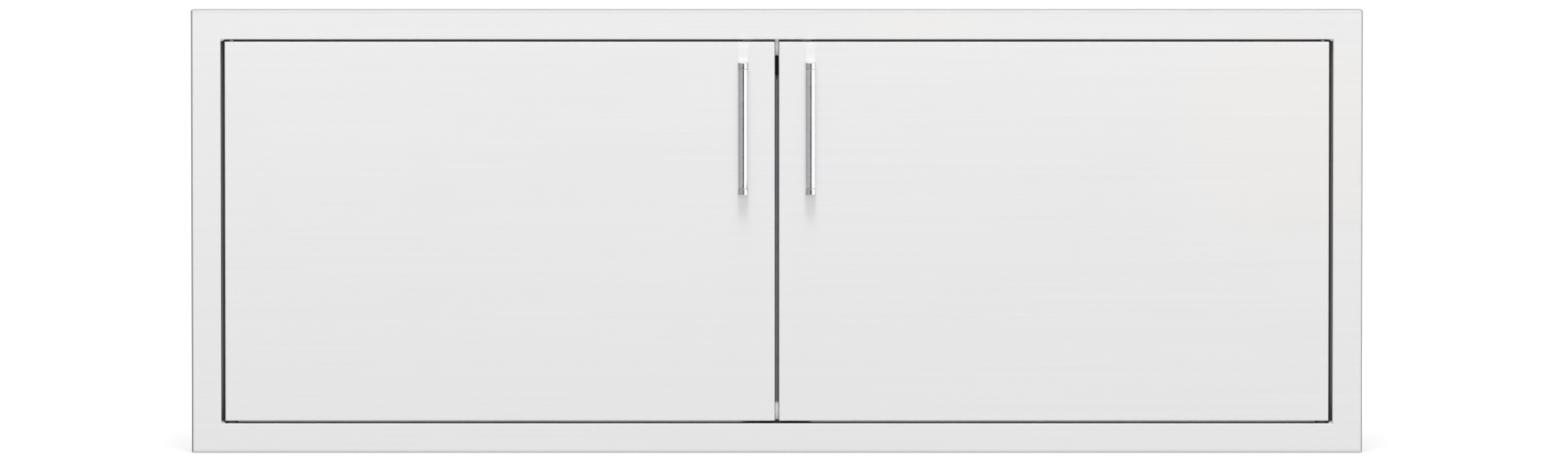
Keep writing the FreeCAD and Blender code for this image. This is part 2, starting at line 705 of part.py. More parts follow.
def top_pin():
    """Spring pin: a bent rod whose tail comes out through the liner's slot."""
    top = f"({OPENING_Z} + Sizes.pin_engagement)"
    shank = turned(
        "top_pin_shank",
        [
            ("0", "0"),
            ("Sizes.pin_radius", "0"),
            ("Sizes.pin_radius", f"{top} - {TAIL_START} - Sizes.pin_end_chamfer"),
            ("Sizes.pin_radius - Sizes.pin_end_chamfer", f"{top} - {TAIL_START}"),
            ("0", f"{top} - {TAIL_START}"),
        ],
        (PIVOT_X, PIVOT_Y, TAIL_START),
    )
    bend = doc.addObject("Part::Torus", "top_pin_bend")
    bind(bend, "Radius1", "Sizes.tail_bend")
    bind(bend, "Radius2", "Sizes.pin_radius")
    bend.Angle3 = 90
    # The quarter ring lies across the door, from straight down to straight back
    quarter = FreeCAD.Matrix(0, 0, 1, 0, -1, 0, 0, 0, 0, -1, 0, 0, 0, 0, 0, 1)
    bend.Placement = FreeCAD.Placement(quarter)
    for letter, expression in zip("xyz", (PIVOT_X, f"{PIVOT_Y} + Sizes.tail_bend", TAIL_START)):
        bind(bend, f"Placement.Base.{letter}", expression)
    tail_length = f"({DOOR_BACK} + Sizes.tail_reach - {PIVOT_Y} - Sizes.tail_bend)"
    tail = turned(
        "top_pin_tail",
        [
            ("0", "0"),
            ("Sizes.pin_radius", "0"),
            ("Sizes.pin_radius", f"{tail_length} - Sizes.pin_end_chamfer"),
            ("Sizes.pin_radius - Sizes.pin_end_chamfer", tail_length),
            ("0", tail_length),
        ],
        (PIVOT_X, f"{PIVOT_Y} + Sizes.tail_bend", TAIL_Z),
        "Y",
    )
    return fuse("top_pin", shank, bend, tail)


def pin_clip():
    """Retaining ring on the spring pin, under the guide's top ear."""
    bore = "Sizes.pin_radius"
    return turned(
        "pin_clip",
        [
            (bore, "0"),
            ("Sizes.clip_radius", "0"),
            ("Sizes.clip_radius", "Sizes.clip_thickness"),
            (bore, "Sizes.clip_thickness"),
        ],
        (PIVOT_X, PIVOT_Y, SPRING_TOP),
    )


def pin_spring():
    """Compression spring round the pin, between the clip and the guide's bottom ear."""
    wire = value("Sizes.spring_wire")
    height = value(f"{SPRING_TOP} - {SPRING_BOTTOM}") - wire
    mean = value("Sizes.spring_radius")
    helix = Part.makeHelix(height / value("Sizes.spring_turns"), height, mean)
    section = Part.Wire(
        Part.makeCircle(wire / 2, FreeCAD.Vector(mean, 0, 0), FreeCAD.Vector(0, 1, 0))
    )
    coil = Part.Wire(helix.Edges).makePipeShell([section], True, True)
    spring = doc.addObject("Part::Feature", "pin_spring")
    spring.Shape = coil
    base = FreeCAD.Vector(value(PIVOT_X), value(PIVOT_Y), value(SPRING_BOTTOM) + wire / 2)
    spring.Placement = FreeCAD.Placement(base, FreeCAD.Rotation())
    return spring


# Bar pulls


def handle_bar():
    """Round bar of the left pull, with a spigot at each end that sits in its post."""
    chamfer = "0.5 * (Sizes.post_radius - Sizes.bar_radius)"
    run = "(Sizes.handle_length - 2 * Sizes.post_thickness)"
    return turned(
        "handle_bar",
        [
            ("0", "-Sizes.spigot_length"),
            ("Sizes.spigot_radius", "-Sizes.spigot_length"),
            ("Sizes.spigot_radius", "0"),
            (f"Sizes.bar_radius - {chamfer}", "0"),
            ("Sizes.bar_radius", chamfer),
            ("Sizes.bar_radius", f"{run} - {chamfer}"),
            (f"Sizes.bar_radius - {chamfer}", run),
            ("Sizes.spigot_radius", run),
            ("Sizes.spigot_radius", f"{run} + Sizes.spigot_length"),
            ("0", f"{run} + Sizes.spigot_length"),
        ],
        (BAR_X, BAR_Y, f"{PULL_BOTTOM} + Sizes.post_thickness"),
    )


def handle_posts():
    """The two posts of the left pull, each as wide as the bar's end and round at the front."""
    posts = []
    for name, level in POST_LEVELS:
        arm = box(
            f"{name}_post_arm",
            (f"{BAR_X} - Sizes.post_radius", BAR_Y, f"{level} - Sizes.post_thickness / 2"),
            ("2 * Sizes.post_radius", "Sizes.handle_reach", "Sizes.post_thickness"),
        )
        nose = rod(
            f"{name}_post_nose",
            "Sizes.post_radius",
            "Sizes.post_thickness",
            (BAR_X, BAR_Y, f"{level} - Sizes.post_thickness / 2"),
            "Z",
        )
        inner_side = -1 if name == "upper" else 1
        seat = rod(
            f"{name}_post_seat",
            "Sizes.spigot_radius + Sizes.seat_clearance",
            f"Sizes.spigot_length + Sizes.seat_clearance + {OVERRUN}",
            (
                BAR_X,
                BAR_Y,
                f"{level} + {inner_side} * (Sizes.post_thickness / 2 + {OVERRUN})",
            ),
            "Z" if inner_side < 0 else "-Z",
        )
        thread = rod(
            f"{name}_post_thread",
            "Sizes.handle_screw_radius + Sizes.seat_clearance",
            "Sizes.handle_screw_reach + 1",
            (BAR_X, FRONT, level),
            "-Y",
        )
        posts.append(cut(f"{name}_post", fuse(f"{name}_post_blank", arm, nose), seat, thread))
    return group("handle_posts", *posts)


def backing_plate():
    """Plate inside the left door that spreads the load of the pull."""
    low = f"({PULL_BOTTOM} - Sizes.backing_margin)"
    plate = box(
        "backing_blank",
        (f"{BAR_X} - Sizes.backing_width / 2", f"{FRONT} + Sizes.door_sheet", low),
        ("Sizes.backing_width", "Sizes.backing_sheet", "Sizes.handle_length + 2 * Sizes.backing_margin"),
    )
    sheet_back = f"({FRONT} + Sizes.door_sheet)"
    holes = [
        hole(f"backing_{name}_hole", "Sizes.handle_screw_radius", (BAR_X, sheet_back, level), "Y")
        for name, level in POST_LEVELS
    ]
    return cut("backing_plate", plate, *holes)


def screw(name, radius, length, head_radius, head_height, at, axis):
    """Pan head screw: its axis points from under the head to the tip."""
    dome = f"0.25 * {head_radius}"
    return turned(
        name,
        [
            ("0", f"-({head_height})"),
            (f"{head_radius} - {dome}", f"-({head_height})"),
            (head_radius, f"{dome} - {head_height}"),
            (head_radius, "0"),
            (radius, "0"),
            (radius, length),
            ("0", length),
        ],
        at,
        axis,
    )


def handle_screws():
    seat = f"{FRONT} + Sizes.door_sheet + Sizes.backing_sheet"
    length = "Sizes.door_sheet + Sizes.backing_sheet + Sizes.handle_screw_reach"
    pair = [
        screw(
            f"{name}_handle_screw",
            "Sizes.handle_screw_radius",
            length,
            "Sizes.handle_screw_head",
            "Sizes.handle_head_height",
            (BAR_X, seat, level),
            "-Y",
        )
        for name, level in POST_LEVELS
    ]
    return group("handle_screws", *pair)


def access_plugs():
    """Black plugs that close the liner's holes behind the screws."""
    pair = []
    for name, level in POST_LEVELS:
        rim = "(Sizes.access_hole_radius + Sizes.plug_rim)"
        stem = "(Sizes.access_hole_radius - Sizes.seat_clearance)"
        pair.append(
            turned(
                f"{name}_access_plug",
                [
                    ("0", "Sizes.plug_face"),
                    (f"{rim} - 0.5 * Sizes.plug_face", "Sizes.plug_face"),
                    (rim, "0.5 * Sizes.plug_face"),
                    (rim, "0"),
                    (stem, "0"),
                    (stem, "-Sizes.plug_depth"),
                    (f"{stem} - Sizes.plug_face", "-Sizes.plug_depth"),
                    (f"{stem} - Sizes.plug_face", "-0.5 * Sizes.plug_face"),
                    ("0", "-0.5 * Sizes.plug_face"),
                ],
                (BAR_X, DOOR_BACK, level),
                "Y",
            )
        )
    return group("access_plugs", *pair)


# Magnetic catch and strikes

STRIKE_X = "(-Sizes.magnet_spacing / 2)"


def rivet_levels():
    half = "Sizes.strike_rivet_spacing / 2"
    return (("upper", f"({CATCH_Z} + {half})"), ("lower", f"({CATCH_Z} - {half})"))


def strike_plate():
    """Steel plate on the back of the left door that the magnet holds."""
    plate = box(
        "strike_blank",
        (f"{STRIKE_X} - Sizes.strike_width / 2", DOOR_BACK, f"{CATCH_Z} - Sizes.strike_height / 2"),
        ("Sizes.strike_width", "Sizes.strike_sheet", "Sizes.strike_height"),
    )
    holes = [
        hole(f"strike_{name}_hole", "Sizes.rivet_radius", (STRIKE_X, DOOR_BACK, level), "Y")
        for name, level in rivet_levels()
    ]
    softened = rounded("strike_softened", plate, ("Sizes.strike_corner", runs_along("Y")))
    return cut("strike_plate", softened, *holes)


def strike_rivets():
    """Blind rivets: a domed head behind the strike plate and a set end inside the liner."""
    grip = "(Sizes.strike_sheet + Sizes.liner_sheet)"
    shop = "(1.5 * Sizes.rivet_radius)"
    pair = [
        turned(
            f"strike_{name}_rivet",
            [
                ("0", "-Sizes.rivet_head_height"),
                ("0.6 * Sizes.rivet_head", "-Sizes.rivet_head_height"),
                ("Sizes.rivet_head", "-0.4 * Sizes.rivet_head_height"),
                ("Sizes.rivet_head", "0"),
                ("Sizes.rivet_radius", "0"),
                ("Sizes.rivet_radius", grip),
                (shop, grip),
                (shop, f"{grip} + Sizes.rivet_radius"),
                ("0", f"{grip} + Sizes.rivet_radius"),
            ],
            (STRIKE_X, STRIKE_BACK, level),
            "-Y",
        )
        for name, level in rivet_levels()
    ]
    return group("strike_rivets", *pair)


def folded_bracket(name, profile, width, bends, holes):
    """Bracket folded from one strip across the middle, with its bends rounded and holes cut."""
    body = extruded(f"{name}_body", "YZ_Plane", profile, width)
    for radius, level_y, level_z in bends:
        soften(body, radius, near("X", "y", "z", level_y, level_z))
    keep(cut(name, body, *holes), name)


def screw_pair(label, spacing, make):
    """The same fastener left and right of the middle, as one node."""
    pair = [make(f"{label}_{name}", f"{hand} * {spacing} / 2") for name, hand in (("left", -1), ("right", 1))]
    keep(group(label, *pair), label)


def catch():
    """Catch bracket, catch body with its magnets and pole plates, and their screws."""
    front, back = CATCH_BACK, f"({CATCH_BACK} + Sizes.catch_bracket_sheet)"
    under = f"({OPENING_Z} - Sizes.catch_bracket_sheet)"
    foot = f"({back} - Sizes.catch_bracket_foot)"
    low = f"({OPENING_Z} - Sizes.catch_bracket_drop)"
    holes = []
    for name, hand in (("left", -1), ("right", 1)):
        up_at = (f"{hand} * {BRACKET_SCREW_X}", CATCH_SCREW_Y, OPENING_Z)
        holes.append(hole(f"catch_bracket_{name}_up_hole", "Sizes.bracket_screw_radius", up_at, "Z"))
        back_at = (f"{hand} * Sizes.catch_screw_spacing / 2", CATCH_BACK, CATCH_Z)
        holes.append(hole(f"catch_bracket_{name}_back_hole", "Sizes.catch_screw_radius", back_at, "Y"))
    folded_bracket(
        "catch_bracket",
        [(foot, OPENING_Z), (back, OPENING_Z), (back, low), (front, low), (front, under), (foot, under)],
        "Sizes.catch_bracket_width",
        (("2 * Sizes.catch_bracket_sheet", back, OPENING_Z), ("Sizes.catch_bracket_sheet", front, under)),
        holes,
    )
    catch_body()
    screw_pair(
        "catch_screws",
        "Sizes.catch_screw_spacing",
        lambda name, x: screw(
            name,
            "Sizes.catch_screw_radius",
            "Sizes.catch_bracket_sheet + Sizes.catch_screw_depth",
            "2 * Sizes.catch_screw_radius",
            "1.2 * Sizes.catch_screw_radius",
            (x, back, CATCH_Z),
            "-Y",
        ),
    )
    stack = "Sizes.catch_bracket_sheet + Sizes.frame_sheet"
    screw_pair(
        "catch_bracket_screws",
        "Sizes.bracket_screw_spacing",
        lambda name, x: bracket_screw(name, stack, (x, CATCH_SCREW_Y, under), "Z"),
    )
    screw_pair(
        "catch_bracket_nuts",
        "Sizes.bracket_screw_spacing",
        lambda name, x: nut(name, (x, CATCH_SCREW_Y, f"{OPENING_Z} + Sizes.frame_sheet"), "Z"),
    )


def catch_body():
    """Black housing with a magnet and two pole plates in each of its two pockets."""
    housing = box(
        "catch_housing",
        ("-Sizes.catch_width / 2", CATCH_FRONT, f"{CATCH_TOP} - Sizes.catch_height"),
        ("Sizes.catch_width", "Sizes.catch_depth", "Sizes.catch_height"),
    )
    softened = rounded("catch_housing_soft", housing, ("Sizes.catch_bracket_sheet", runs_along("Y")))
    stack = "(Sizes.magnet_height + 2 * Sizes.pole_sheet)"
    pole_front = f"({CATCH_FRONT} - Sizes.pole_proud)"
    tools, magnets, poles = [], [], []
    for name, hand in (("left", -1), ("right", 1)):
        left_x = f"({hand} * Sizes.magnet_spacing / 2 - Sizes.magnet_width / 2)"
        tools.append(
            box(
                f"{name}_magnet_pocket",
                (
                    f"{left_x} - Sizes.seat_clearance",
                    f"{CATCH_FRONT} - {OVERRUN}",
                    f"{CATCH_Z} - {stack} / 2 - Sizes.seat_clearance",
                ),
                (
                    "Sizes.magnet_width + 2 * Sizes.seat_clearance",
                    f"Sizes.magnet_depth + Sizes.pole_proud + {OVERRUN}",
                    f"{stack} + 2 * Sizes.seat_clearance",
                ),
            )
        )
        tools.append(
            rod(
                f"{name}_catch_screw_hole",
                "Sizes.catch_screw_radius + Sizes.seat_clearance",
                f"Sizes.catch_screw_depth + Sizes.rest_gap + {OVERRUN}",
                (f"{hand} * Sizes.catch_screw_spacing / 2", f"{CATCH_BACK} + {OVERRUN}", CATCH_Z),
                "-Y",
            )
        )
        magnets.append(
            box(
                f"{name}_magnet",
                (left_x, f"{CATCH_FRONT} + Sizes.pole_proud", f"{CATCH_Z} - Sizes.magnet_height / 2"),
                ("Sizes.magnet_width", "Sizes.magnet_depth", "Sizes.magnet_height"),
            )
        )
        for place_name, low in (
            ("upper", f"{CATCH_Z} + Sizes.magnet_height / 2"),
            ("lower", f"{CATCH_Z} - {stack} / 2"),
        ):
            poles.append(
                box(
                    f"{name}_{place_name}_pole",
                    (left_x, pole_front, low),
                    ("Sizes.magnet_width", "Sizes.magnet_depth + 2 * Sizes.pole_proud", "Sizes.pole_sheet"),
                )
            )
    keep(cut("catch_body", softened, *tools), "catch_body")
    keep(group("catch_magnets", *magnets), "catch_magnets")
    keep(group("catch_pole_plates", *poles), "catch_pole_plates")


def bracket_screw(name, stack, at, axis):
    """Screw through a bracket and the surround, with its nut on the far side."""
    return screw(
        name,
        "Sizes.bracket_screw_radius",
        f"{stack} + Sizes.nut_height + Sizes.bracket_screw_tip",
        "Sizes.bracket_screw_head",
        "Sizes.bracket_head_height",
        at,
        axis,
    )


def nut(name, at, axis):
    hexagon = doc.addObject("Part::Prism", f"{name}_hexagon")
    hexagon.Polygon = 6
    bind(hexagon, "Circumradius", "Sizes.nut_flats / sqrt(3)")
    bind(hexagon, "Height", "Sizes.nut_height")
    place(hexagon, at, axis)
    thread = "Sizes.bracket_screw_radius + Sizes.seat_clearance"
    bore = rod(f"{name}_bore", thread, "Sizes.nut_height", at, axis)
    return cut(name, hexagon, bore)


# Stop


def stop():
    """Stop bracket at the bottom, with two rubber bumpers that the doors close against."""
    floor = f"(-{OPENING_Z})"
    deck = f"({floor} + Sizes.stop_sheet)"
    back = f"({STOP_FRONT} + Sizes.stop_sheet)"
    top = f"({floor} + Sizes.stop_height)"
    hem_front = f"({STOP_FRONT} - Sizes.stop_sheet)"
    hem_low = f"({top} - Sizes.stop_hem)"
    bumper_z = f"({floor} + Sizes.bumper_height)"
    foot = f"({STOP_FRONT} + Sizes.stop_foot)"
    holes = []
    for name, hand in (("left", -1), ("right", 1)):
        down_at = (f"{hand} * {BRACKET_SCREW_X}", STOP_SCREW_Y, floor)
        holes.append(hole(f"stop_{name}_down_hole", "Sizes.bracket_screw_radius", down_at, "Z"))
        bumper_at = (f"{hand} * Sizes.bumper_spacing / 2", STOP_FRONT, bumper_z)
        holes.append(hole(f"stop_{name}_bumper_hole", "Sizes.bumper_stem", bumper_at, "Y"))
    folded_bracket(
        "stop_bracket",
        [
            (foot, floor),
            (STOP_FRONT, floor),
            (STOP_FRONT, hem_low),
            (hem_front, hem_low),
            (hem_front, top),
            (back, top),
            (back, deck),
            (foot, deck),
        ],
        "Sizes.stop_width",
        (
            ("2 * Sizes.stop_sheet", STOP_FRONT, floor),
            ("Sizes.stop_sheet", back, deck),
            ("0.95 * Sizes.stop_sheet", hem_front, top),
            ("0.95 * Sizes.stop_sheet", back, top),
        ),
        holes,
    )
    screw_pair(
        "stop_bumpers",
        "Sizes.bumper_spacing",
        lambda name, x: bumper(name, (x, STOP_FRONT, bumper_z)),
    )
    stack = "Sizes.stop_sheet + Sizes.frame_sheet"
    screw_pair(
        "stop_bracket_screws",
        "Sizes.bracket_screw_spacing",
        lambda name, x: bracket_screw(name, stack, (x, STOP_SCREW_Y, deck), "-Z"),
    )
    screw_pair(
        "stop_bracket_nuts",
        "Sizes.bracket_screw_spacing",
        lambda name, x: nut(name, (x, STOP_SCREW_Y, f"{floor} - Sizes.frame_sheet"), "-Z"),
    )


def bumper(name, at):
    """Rubber bumper: a round pad in front of the bracket and a barbed stem through it."""
    pad_height = "(Sizes.stop_setback - Sizes.rest_gap)"
    barb = "(Sizes.bumper_stem * 1.4)"
    behind = "(-Sizes.stop_sheet)"
    return turned(
        name,
        [
            ("0", pad_height),
            ("0.7 * Sizes.bumper_radius", pad_height),
            ("Sizes.bumper_radius", f"0.7 * {pad_height}"),
            ("Sizes.bumper_radius", "0"),
            ("Sizes.bumper_stem", "0"),
            ("Sizes.bumper_stem", behind),
            (barb, behind),
            ("0.6 * Sizes.bumper_stem", f"{behind} - Sizes.bumper_stem"),
            ("0", f"{behind} - Sizes.bumper_stem"),
        ],
        at,
        "-Y",
    )


def both_hands():
    """Each left-hand piece and its mirror image on the right."""
    top_bushing = bushing("top_bushing", (PIVOT_X, PIVOT_Y, OPENING_Z), "Z", "Sizes.frame_sheet")
    door_bushing = bushing("bottom_bushing", (PIVOT_X, PIVOT_Y, DOOR_BOTTOM), "Z", "Sizes.door_sheet")
    pieces = (
        (top_bushing, "top_bushing"),
        (bottom_pin(), "bottom_pin"),
        (pivot_washer(), "pivot_washer"),
        (door_skin(), "door_skin"),
        (door_liner(), "door_liner"),
        (edge_seal(), "edge_seal"),
        (handle_bar(), "handle_bar"),
        (handle_posts(), "handle_posts"),
        (handle_screws(), "handle_screws"),
        (backing_plate(), "backing_plate"),
        (access_plugs(), "access_plugs"),
        (door_bushing, "bottom_bushing"),
        (pin_guide(), "pin_guide"),
        (pin_spring(), "pin_spring"),
        (strike_plate(), "strike_plate"),
        (strike_rivets(), "strike_rivets"),
        (top_pin(), "top_pin"),
        (pin_clip(), "pin_clip"),
    )
    for piece, label in pieces:
        keep(piece, f"left_{label}")
        keep(mirror(f"right_{label}", piece), f"right_{label}")


def check_and_write():
    """Recompute, stop on any failed object, and write each sub-part to its own file."""
    doc.recompute()
    failed = [thing.Label for thing in doc.Objects if {"Invalid", "Error"} & set(thing.State)]
    for thing in sub_parts:
        if thing.Shape.isNull() or not thing.Shape.isValid() or not thing.Shape.Solids:
            failed.append(thing.Label)
    if failed:
        raise RuntimeError(f"failed: {sorted(set(failed))}")
    os.makedirs("parts", exist_ok=True)
    for thing in sub_parts:
        thing.Shape.exportStep(f"parts/{thing.Label}.step")
        print(thing.Label, len(thing.Shape.Solids), round(thing.Shape.Volume, 1))


fill_sheet()
face_frame()
surround()
both_hands()
catch()
stop()
check_and_write()
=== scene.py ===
"""Looks for a stainless double access door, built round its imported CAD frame.

The file is laid out as a Blender add-on and is run as a script. Everything is in metres in the
frame of the CAD: X runs to the right, Y runs back into the wall and Z runs up.
"""

import math

import bmesh
import bpy
from bpy.props import FloatProperty, FloatVectorProperty, IntProperty, PointerProperty
from mathutils import Matrix, Vector


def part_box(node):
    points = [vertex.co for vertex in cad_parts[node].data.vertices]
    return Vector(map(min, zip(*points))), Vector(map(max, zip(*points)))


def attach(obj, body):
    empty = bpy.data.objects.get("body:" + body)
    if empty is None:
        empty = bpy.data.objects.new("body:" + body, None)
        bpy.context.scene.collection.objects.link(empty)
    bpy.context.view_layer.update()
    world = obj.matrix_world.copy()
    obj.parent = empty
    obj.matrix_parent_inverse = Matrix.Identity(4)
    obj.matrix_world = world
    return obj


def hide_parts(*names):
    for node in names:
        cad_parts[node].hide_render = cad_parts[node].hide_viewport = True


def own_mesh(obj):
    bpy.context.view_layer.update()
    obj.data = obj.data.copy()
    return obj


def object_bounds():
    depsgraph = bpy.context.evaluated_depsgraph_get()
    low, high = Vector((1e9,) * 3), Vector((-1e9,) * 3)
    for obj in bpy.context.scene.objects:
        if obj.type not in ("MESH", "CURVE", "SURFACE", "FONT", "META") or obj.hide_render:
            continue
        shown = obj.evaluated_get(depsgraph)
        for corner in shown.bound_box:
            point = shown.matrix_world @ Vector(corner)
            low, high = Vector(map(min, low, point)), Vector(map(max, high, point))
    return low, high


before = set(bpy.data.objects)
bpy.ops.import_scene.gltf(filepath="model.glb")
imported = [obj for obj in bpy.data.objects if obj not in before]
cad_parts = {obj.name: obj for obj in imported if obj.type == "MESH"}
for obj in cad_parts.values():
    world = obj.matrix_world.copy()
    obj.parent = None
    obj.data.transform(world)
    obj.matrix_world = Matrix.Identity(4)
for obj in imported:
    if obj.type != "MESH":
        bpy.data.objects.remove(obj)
cad_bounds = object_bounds()

bl_info = {
    "name": "Double Access Door",
    "version": (1, 0, 0),
    "blender": (4, 5, 0),
    "location": "View3D > Sidebar > Access Door",
    "description": "Finishes, fittings and studio for a stainless double access door",
    "category": "Object",
}

HANDS = (("left", -1), ("right", 1))
TURN = 2 * math.pi

# Directions that a turned piece's axis can point in
TO_FRONT = Vector((0, -1, 0))
TO_BACK = Vector((0, 1, 0))
UP = Vector((0, 0, 1))
DOWN = Vector((0, 0, -1))


# Settings that a user can change


def length(name, description, default, lowest=0.0):
    return FloatProperty(
        name=name, description=description, default=default, min=lowest, precision=5, unit="LENGTH"
    )


def share(name, description, default):
    return FloatProperty(name=name, description=description, default=default, min=0, max=1, subtype="FACTOR")


def colour(name, description, default):
    return FloatVectorProperty(
        name=name, description=description, default=default, size=3, min=0, max=1, subtype="COLOR"
    )


class AccessDoorSizes(bpy.types.PropertyGroup):
    """Sizes of the details that the CAD solids leave out"""

    bar_edge: length("Bar edge", "Rounding at each end of a bar", 0.00012)
    bar_neck: length("Bar neck", "Height of the shadow groove between a bar and its posts", 0.00055)
    neck_depth: length("Neck depth", "Depth of that groove", 0.0006)
    post_edge: length("Post edge", "Rounding of a post's outer edges", 0.0006)
    post_joint: length("Post joint", "Rounding of a post where the bar enters it", 0.00015)
    post_thickness: length("Post thickness", "Height of each post of a pull", 0.0073)
    screw_pitch: length("Screw pitch", "Distance from thread to thread", 0.0007)
    seal_groove: length("Seal groove", "Depth of the grooves in an edge seal", 0.00025)
    seal_fin: length("Seal fin", "How far the middle rib of an edge seal stands proud", 0.00022)
    seal_corner: length("Seal corner", "Rounding of an edge seal", 0.00125)
    catch_edge: length("Catch edge", "Rounding of the catch housing", 0.0009)
    weld_radius: length("Weld radius", "Half the width of a weld bead", 0.0011)
    weld_length: length("Weld length", "Length of each stitch of weld", 0.012)
    spot_weld: length("Spot weld", "Radius of a spot weld on the back of a door", 0.0028)
    spot_pitch: length("Spot pitch", "Distance between spot welds", 0.07)
    round_sides: IntProperty(name="Round sides", description="Faces round a bar", default=64, min=12)


class AccessDoorFinishes(bpy.types.PropertyGroup):
    """Colours and gloss of the materials"""

    sheet: colour("Sheet", "Brushed sheet of the face frame and the doors", (0.83, 0.822, 0.824))
    sheet_warm: colour("Warm patches", "Faint warm patches on the brushed sheet", (0.836, 0.826, 0.814))
    sheet_cool: colour("Cool patches", "Faint lilac patches on the brushed sheet", (0.822, 0.817, 0.829))
    mill: colour("Mill sheet", "Unbrushed sheet behind the doors", (0.64, 0.63, 0.615))
    # Darker than the sheet really is: painted shade for the jambs seen in the gaps, and for the brushed
    # sheet's bends and rims
    surround: colour("Surround", "Sheet of the surround, and brushed sheet's bends", (0.28, 0.272, 0.264))
    bar: colour("Bars", "Bars of the pulls", (0.86, 0.86, 0.86))
    post: colour("Posts", "Posts of the pulls", (0.75, 0.75, 0.75))
    # Dark: painted shade in the grooves between the bars and their posts
    groove: colour("Grooves", "Grooves between the bars and their posts", (0.42, 0.42, 0.41))
    # Lighter than the other bracket steel: painted light on the brackets that sit in shade between the doors
    painted_light_bracket: colour("Bright brackets", "Brackets seen between the doors", (0.92, 0.92, 0.92))
    bracket: colour("Plates", "Guides, backing, strike and pole plates", (0.78, 0.78, 0.77))
    pin: colour("Pins", "Pivot pins", (0.68, 0.68, 0.67))
    fastener: colour("Fasteners", "Screws, nuts and rivets", (0.62, 0.62, 0.6))
    wire: colour("Wire", "Springs and clips", (0.5, 0.5, 0.49))
    weld: colour("Welds", "Weld beads as laid", (0.46, 0.45, 0.435))
    dressed_weld: colour("Dressed welds", "Welds brushed with the sheet", (0.6, 0.6, 0.6))
    heat_tint: colour("Heat tint", "Halo round a spot weld", (0.46, 0.37, 0.27))
    nylon: colour("Nylon", "Bushings, washers, plugs and catch housing", (0.022, 0.022, 0.023))
    seal: colour("Seals", "Rubber strips between the doors", (0.03, 0.0295, 0.029))
    bumper: colour("Bumpers", "Rubber bumpers of the stop", (0.04, 0.04, 0.041))
    dust: colour("Dust", "Dust on nylon and rubber", (0.32, 0.31, 0.29))
    magnet: colour("Magnets", "Ferrite blocks of the catch", (0.1, 0.1, 0.105))
    sheet_roughness: share("Sheet roughness", "Roughness of the brushed sheet", 0.31)
    bar_roughness: share("Bar roughness", "Roughness of the bars and posts", 0.12)


class AccessDoorStudio(bpy.types.PropertyGroup):
    """Camera, light and floor"""

    elevation: FloatProperty(
        name="Elevation", description="Camera above the horizon", default=math.radians(4.5), subtype="ANGLE"
    )
    view_width: length("View width", "Width that the picture takes in at the door", 1.8366)
    aim_right: length("Aim right", "Middle of the picture from the middle of the door", 0.0084, -1)
    aim_up: length("Aim up", "The same, upwards", 0.0007, -1)
    focal_length: FloatProperty(
        name="Focal length", description="Camera's lens", default=400, min=20, unit="CAMERA"
    )
    key_strength: FloatProperty(name="Key", description="Strength of the soft key light", default=1.8, min=0)
    softbox_power: FloatProperty(
        name="Softbox", description="Power of the softbox above the front", default=17, min=0, unit="POWER"
    )
    room_light: share("Room light", "Even light from all round", 0.55)
    floor: colour("Floor", "Colour of the floor", (0.93, 0.93, 0.93))
    floor_lift: share("Floor lift", "What the camera adds to the floor to make it white", 0.2)


def sizes():
    return bpy.context.scene.access_door_sizes


def finishes():
    return bpy.context.scene.access_door_finishes


def studio():
    return bpy.context.scene.access_door_studio


# Node trees


def add_node(tree, kind, inputs=None, **settings):
    """New shader node with its settings, and each input set to a value or linked from a socket."""
    made = tree.nodes.new(f"ShaderNode{kind}")
    for key, value in settings.items():
        setattr(made, key, value)
    for key, value in (inputs or {}).items():
        if isinstance(value, bpy.types.NodeSocket):
            tree.links.new(value, made.inputs[key])
        else:
            made.inputs[key].default_value = value
    return made


def calculate(tree, operation, *values):
    return add_node(tree, "Math", dict(enumerate(values)), operation=operation).outputs[0]


def vector_maths(tree, operation, *values):
    made = add_node(tree, "VectorMath", dict(enumerate(values)), operation=operation)
    return made.outputs["Value" if operation == "DOT_PRODUCT" else "Vector"]


def split(tree, vector):
    """Outputs X, Y and Z of a vector."""
    return add_node(tree, "SeparateXYZ", {0: vector}).outputs


def fade(tree, factor, first, second):
    """Number that goes from the first to the second as the factor goes from 0 to 1."""
    return calculate(tree, "MULTIPLY_ADD", factor, calculate(tree, "SUBTRACT", second, first), first)


def stretch(tree, value, low, high, to_low=0.0, to_high=1.0):
    """A value from low to high, brought to the range from to_low to to_high."""
    inputs = {"Value": value, "From Min": low, "From Max": high, "To Min": to_low, "To Max": to_high}
    return add_node(tree, "MapRange", inputs).outputs[0]


def noise(tree, vector, scale, detail=2.0, roughness=0.5):
    inputs = {"Vector": vector, "Scale": scale, "Detail": detail, "Roughness": roughness}
    return add_node(tree, "TexNoise", inputs).outputs[0]


def mix_colour(tree, factor, first, second, blend="MIX"):
    """Colour between two, each given as a socket or as red, green and blue."""
    first, second = (end if isinstance(end, bpy.types.NodeSocket) else (*end, 1) for end in (first, second))
    inputs = {0: factor, 6: first, 7: second}
    return add_node(tree, "Mix", inputs, data_type="RGBA", blend_type=blend).outputs[2]


def new_group(name, inputs, outputs):
    """Empty shader node group with named sockets; returns its tree, its inputs and its output node."""
    tree = bpy.data.node_groups.new(name, "ShaderNodeTree")
    for way, sockets in (("INPUT", inputs), ("OUTPUT", outputs)):
        for label, kind in sockets.items():
            tree.interface.new_socket(label, in_out=way, socket_type=f"NodeSocket{kind}")
    entry = tree.nodes.new("NodeGroupInput")
    return tree, entry.outputs, tree.nodes.new("NodeGroupOutput")


def feed(node, label, socket):
    node.id_data.links.new(socket, node.inputs[label])


def put_out(group_output, **sockets):
    for label, socket in sockets.items():
        feed(group_output, label, socket)


def use_group(tree, name, inputs):
    return add_node(tree, "Group", inputs, node_tree=bpy.data.node_groups[name]).outputs


# Sockets that several of the groups have
PATTERN = {"Vector": "Vector", "Frequency": "Float"}
RELIEF = {"Height": "Float", "Shade": "Float"}
MASK = {"Mask": "Float"}


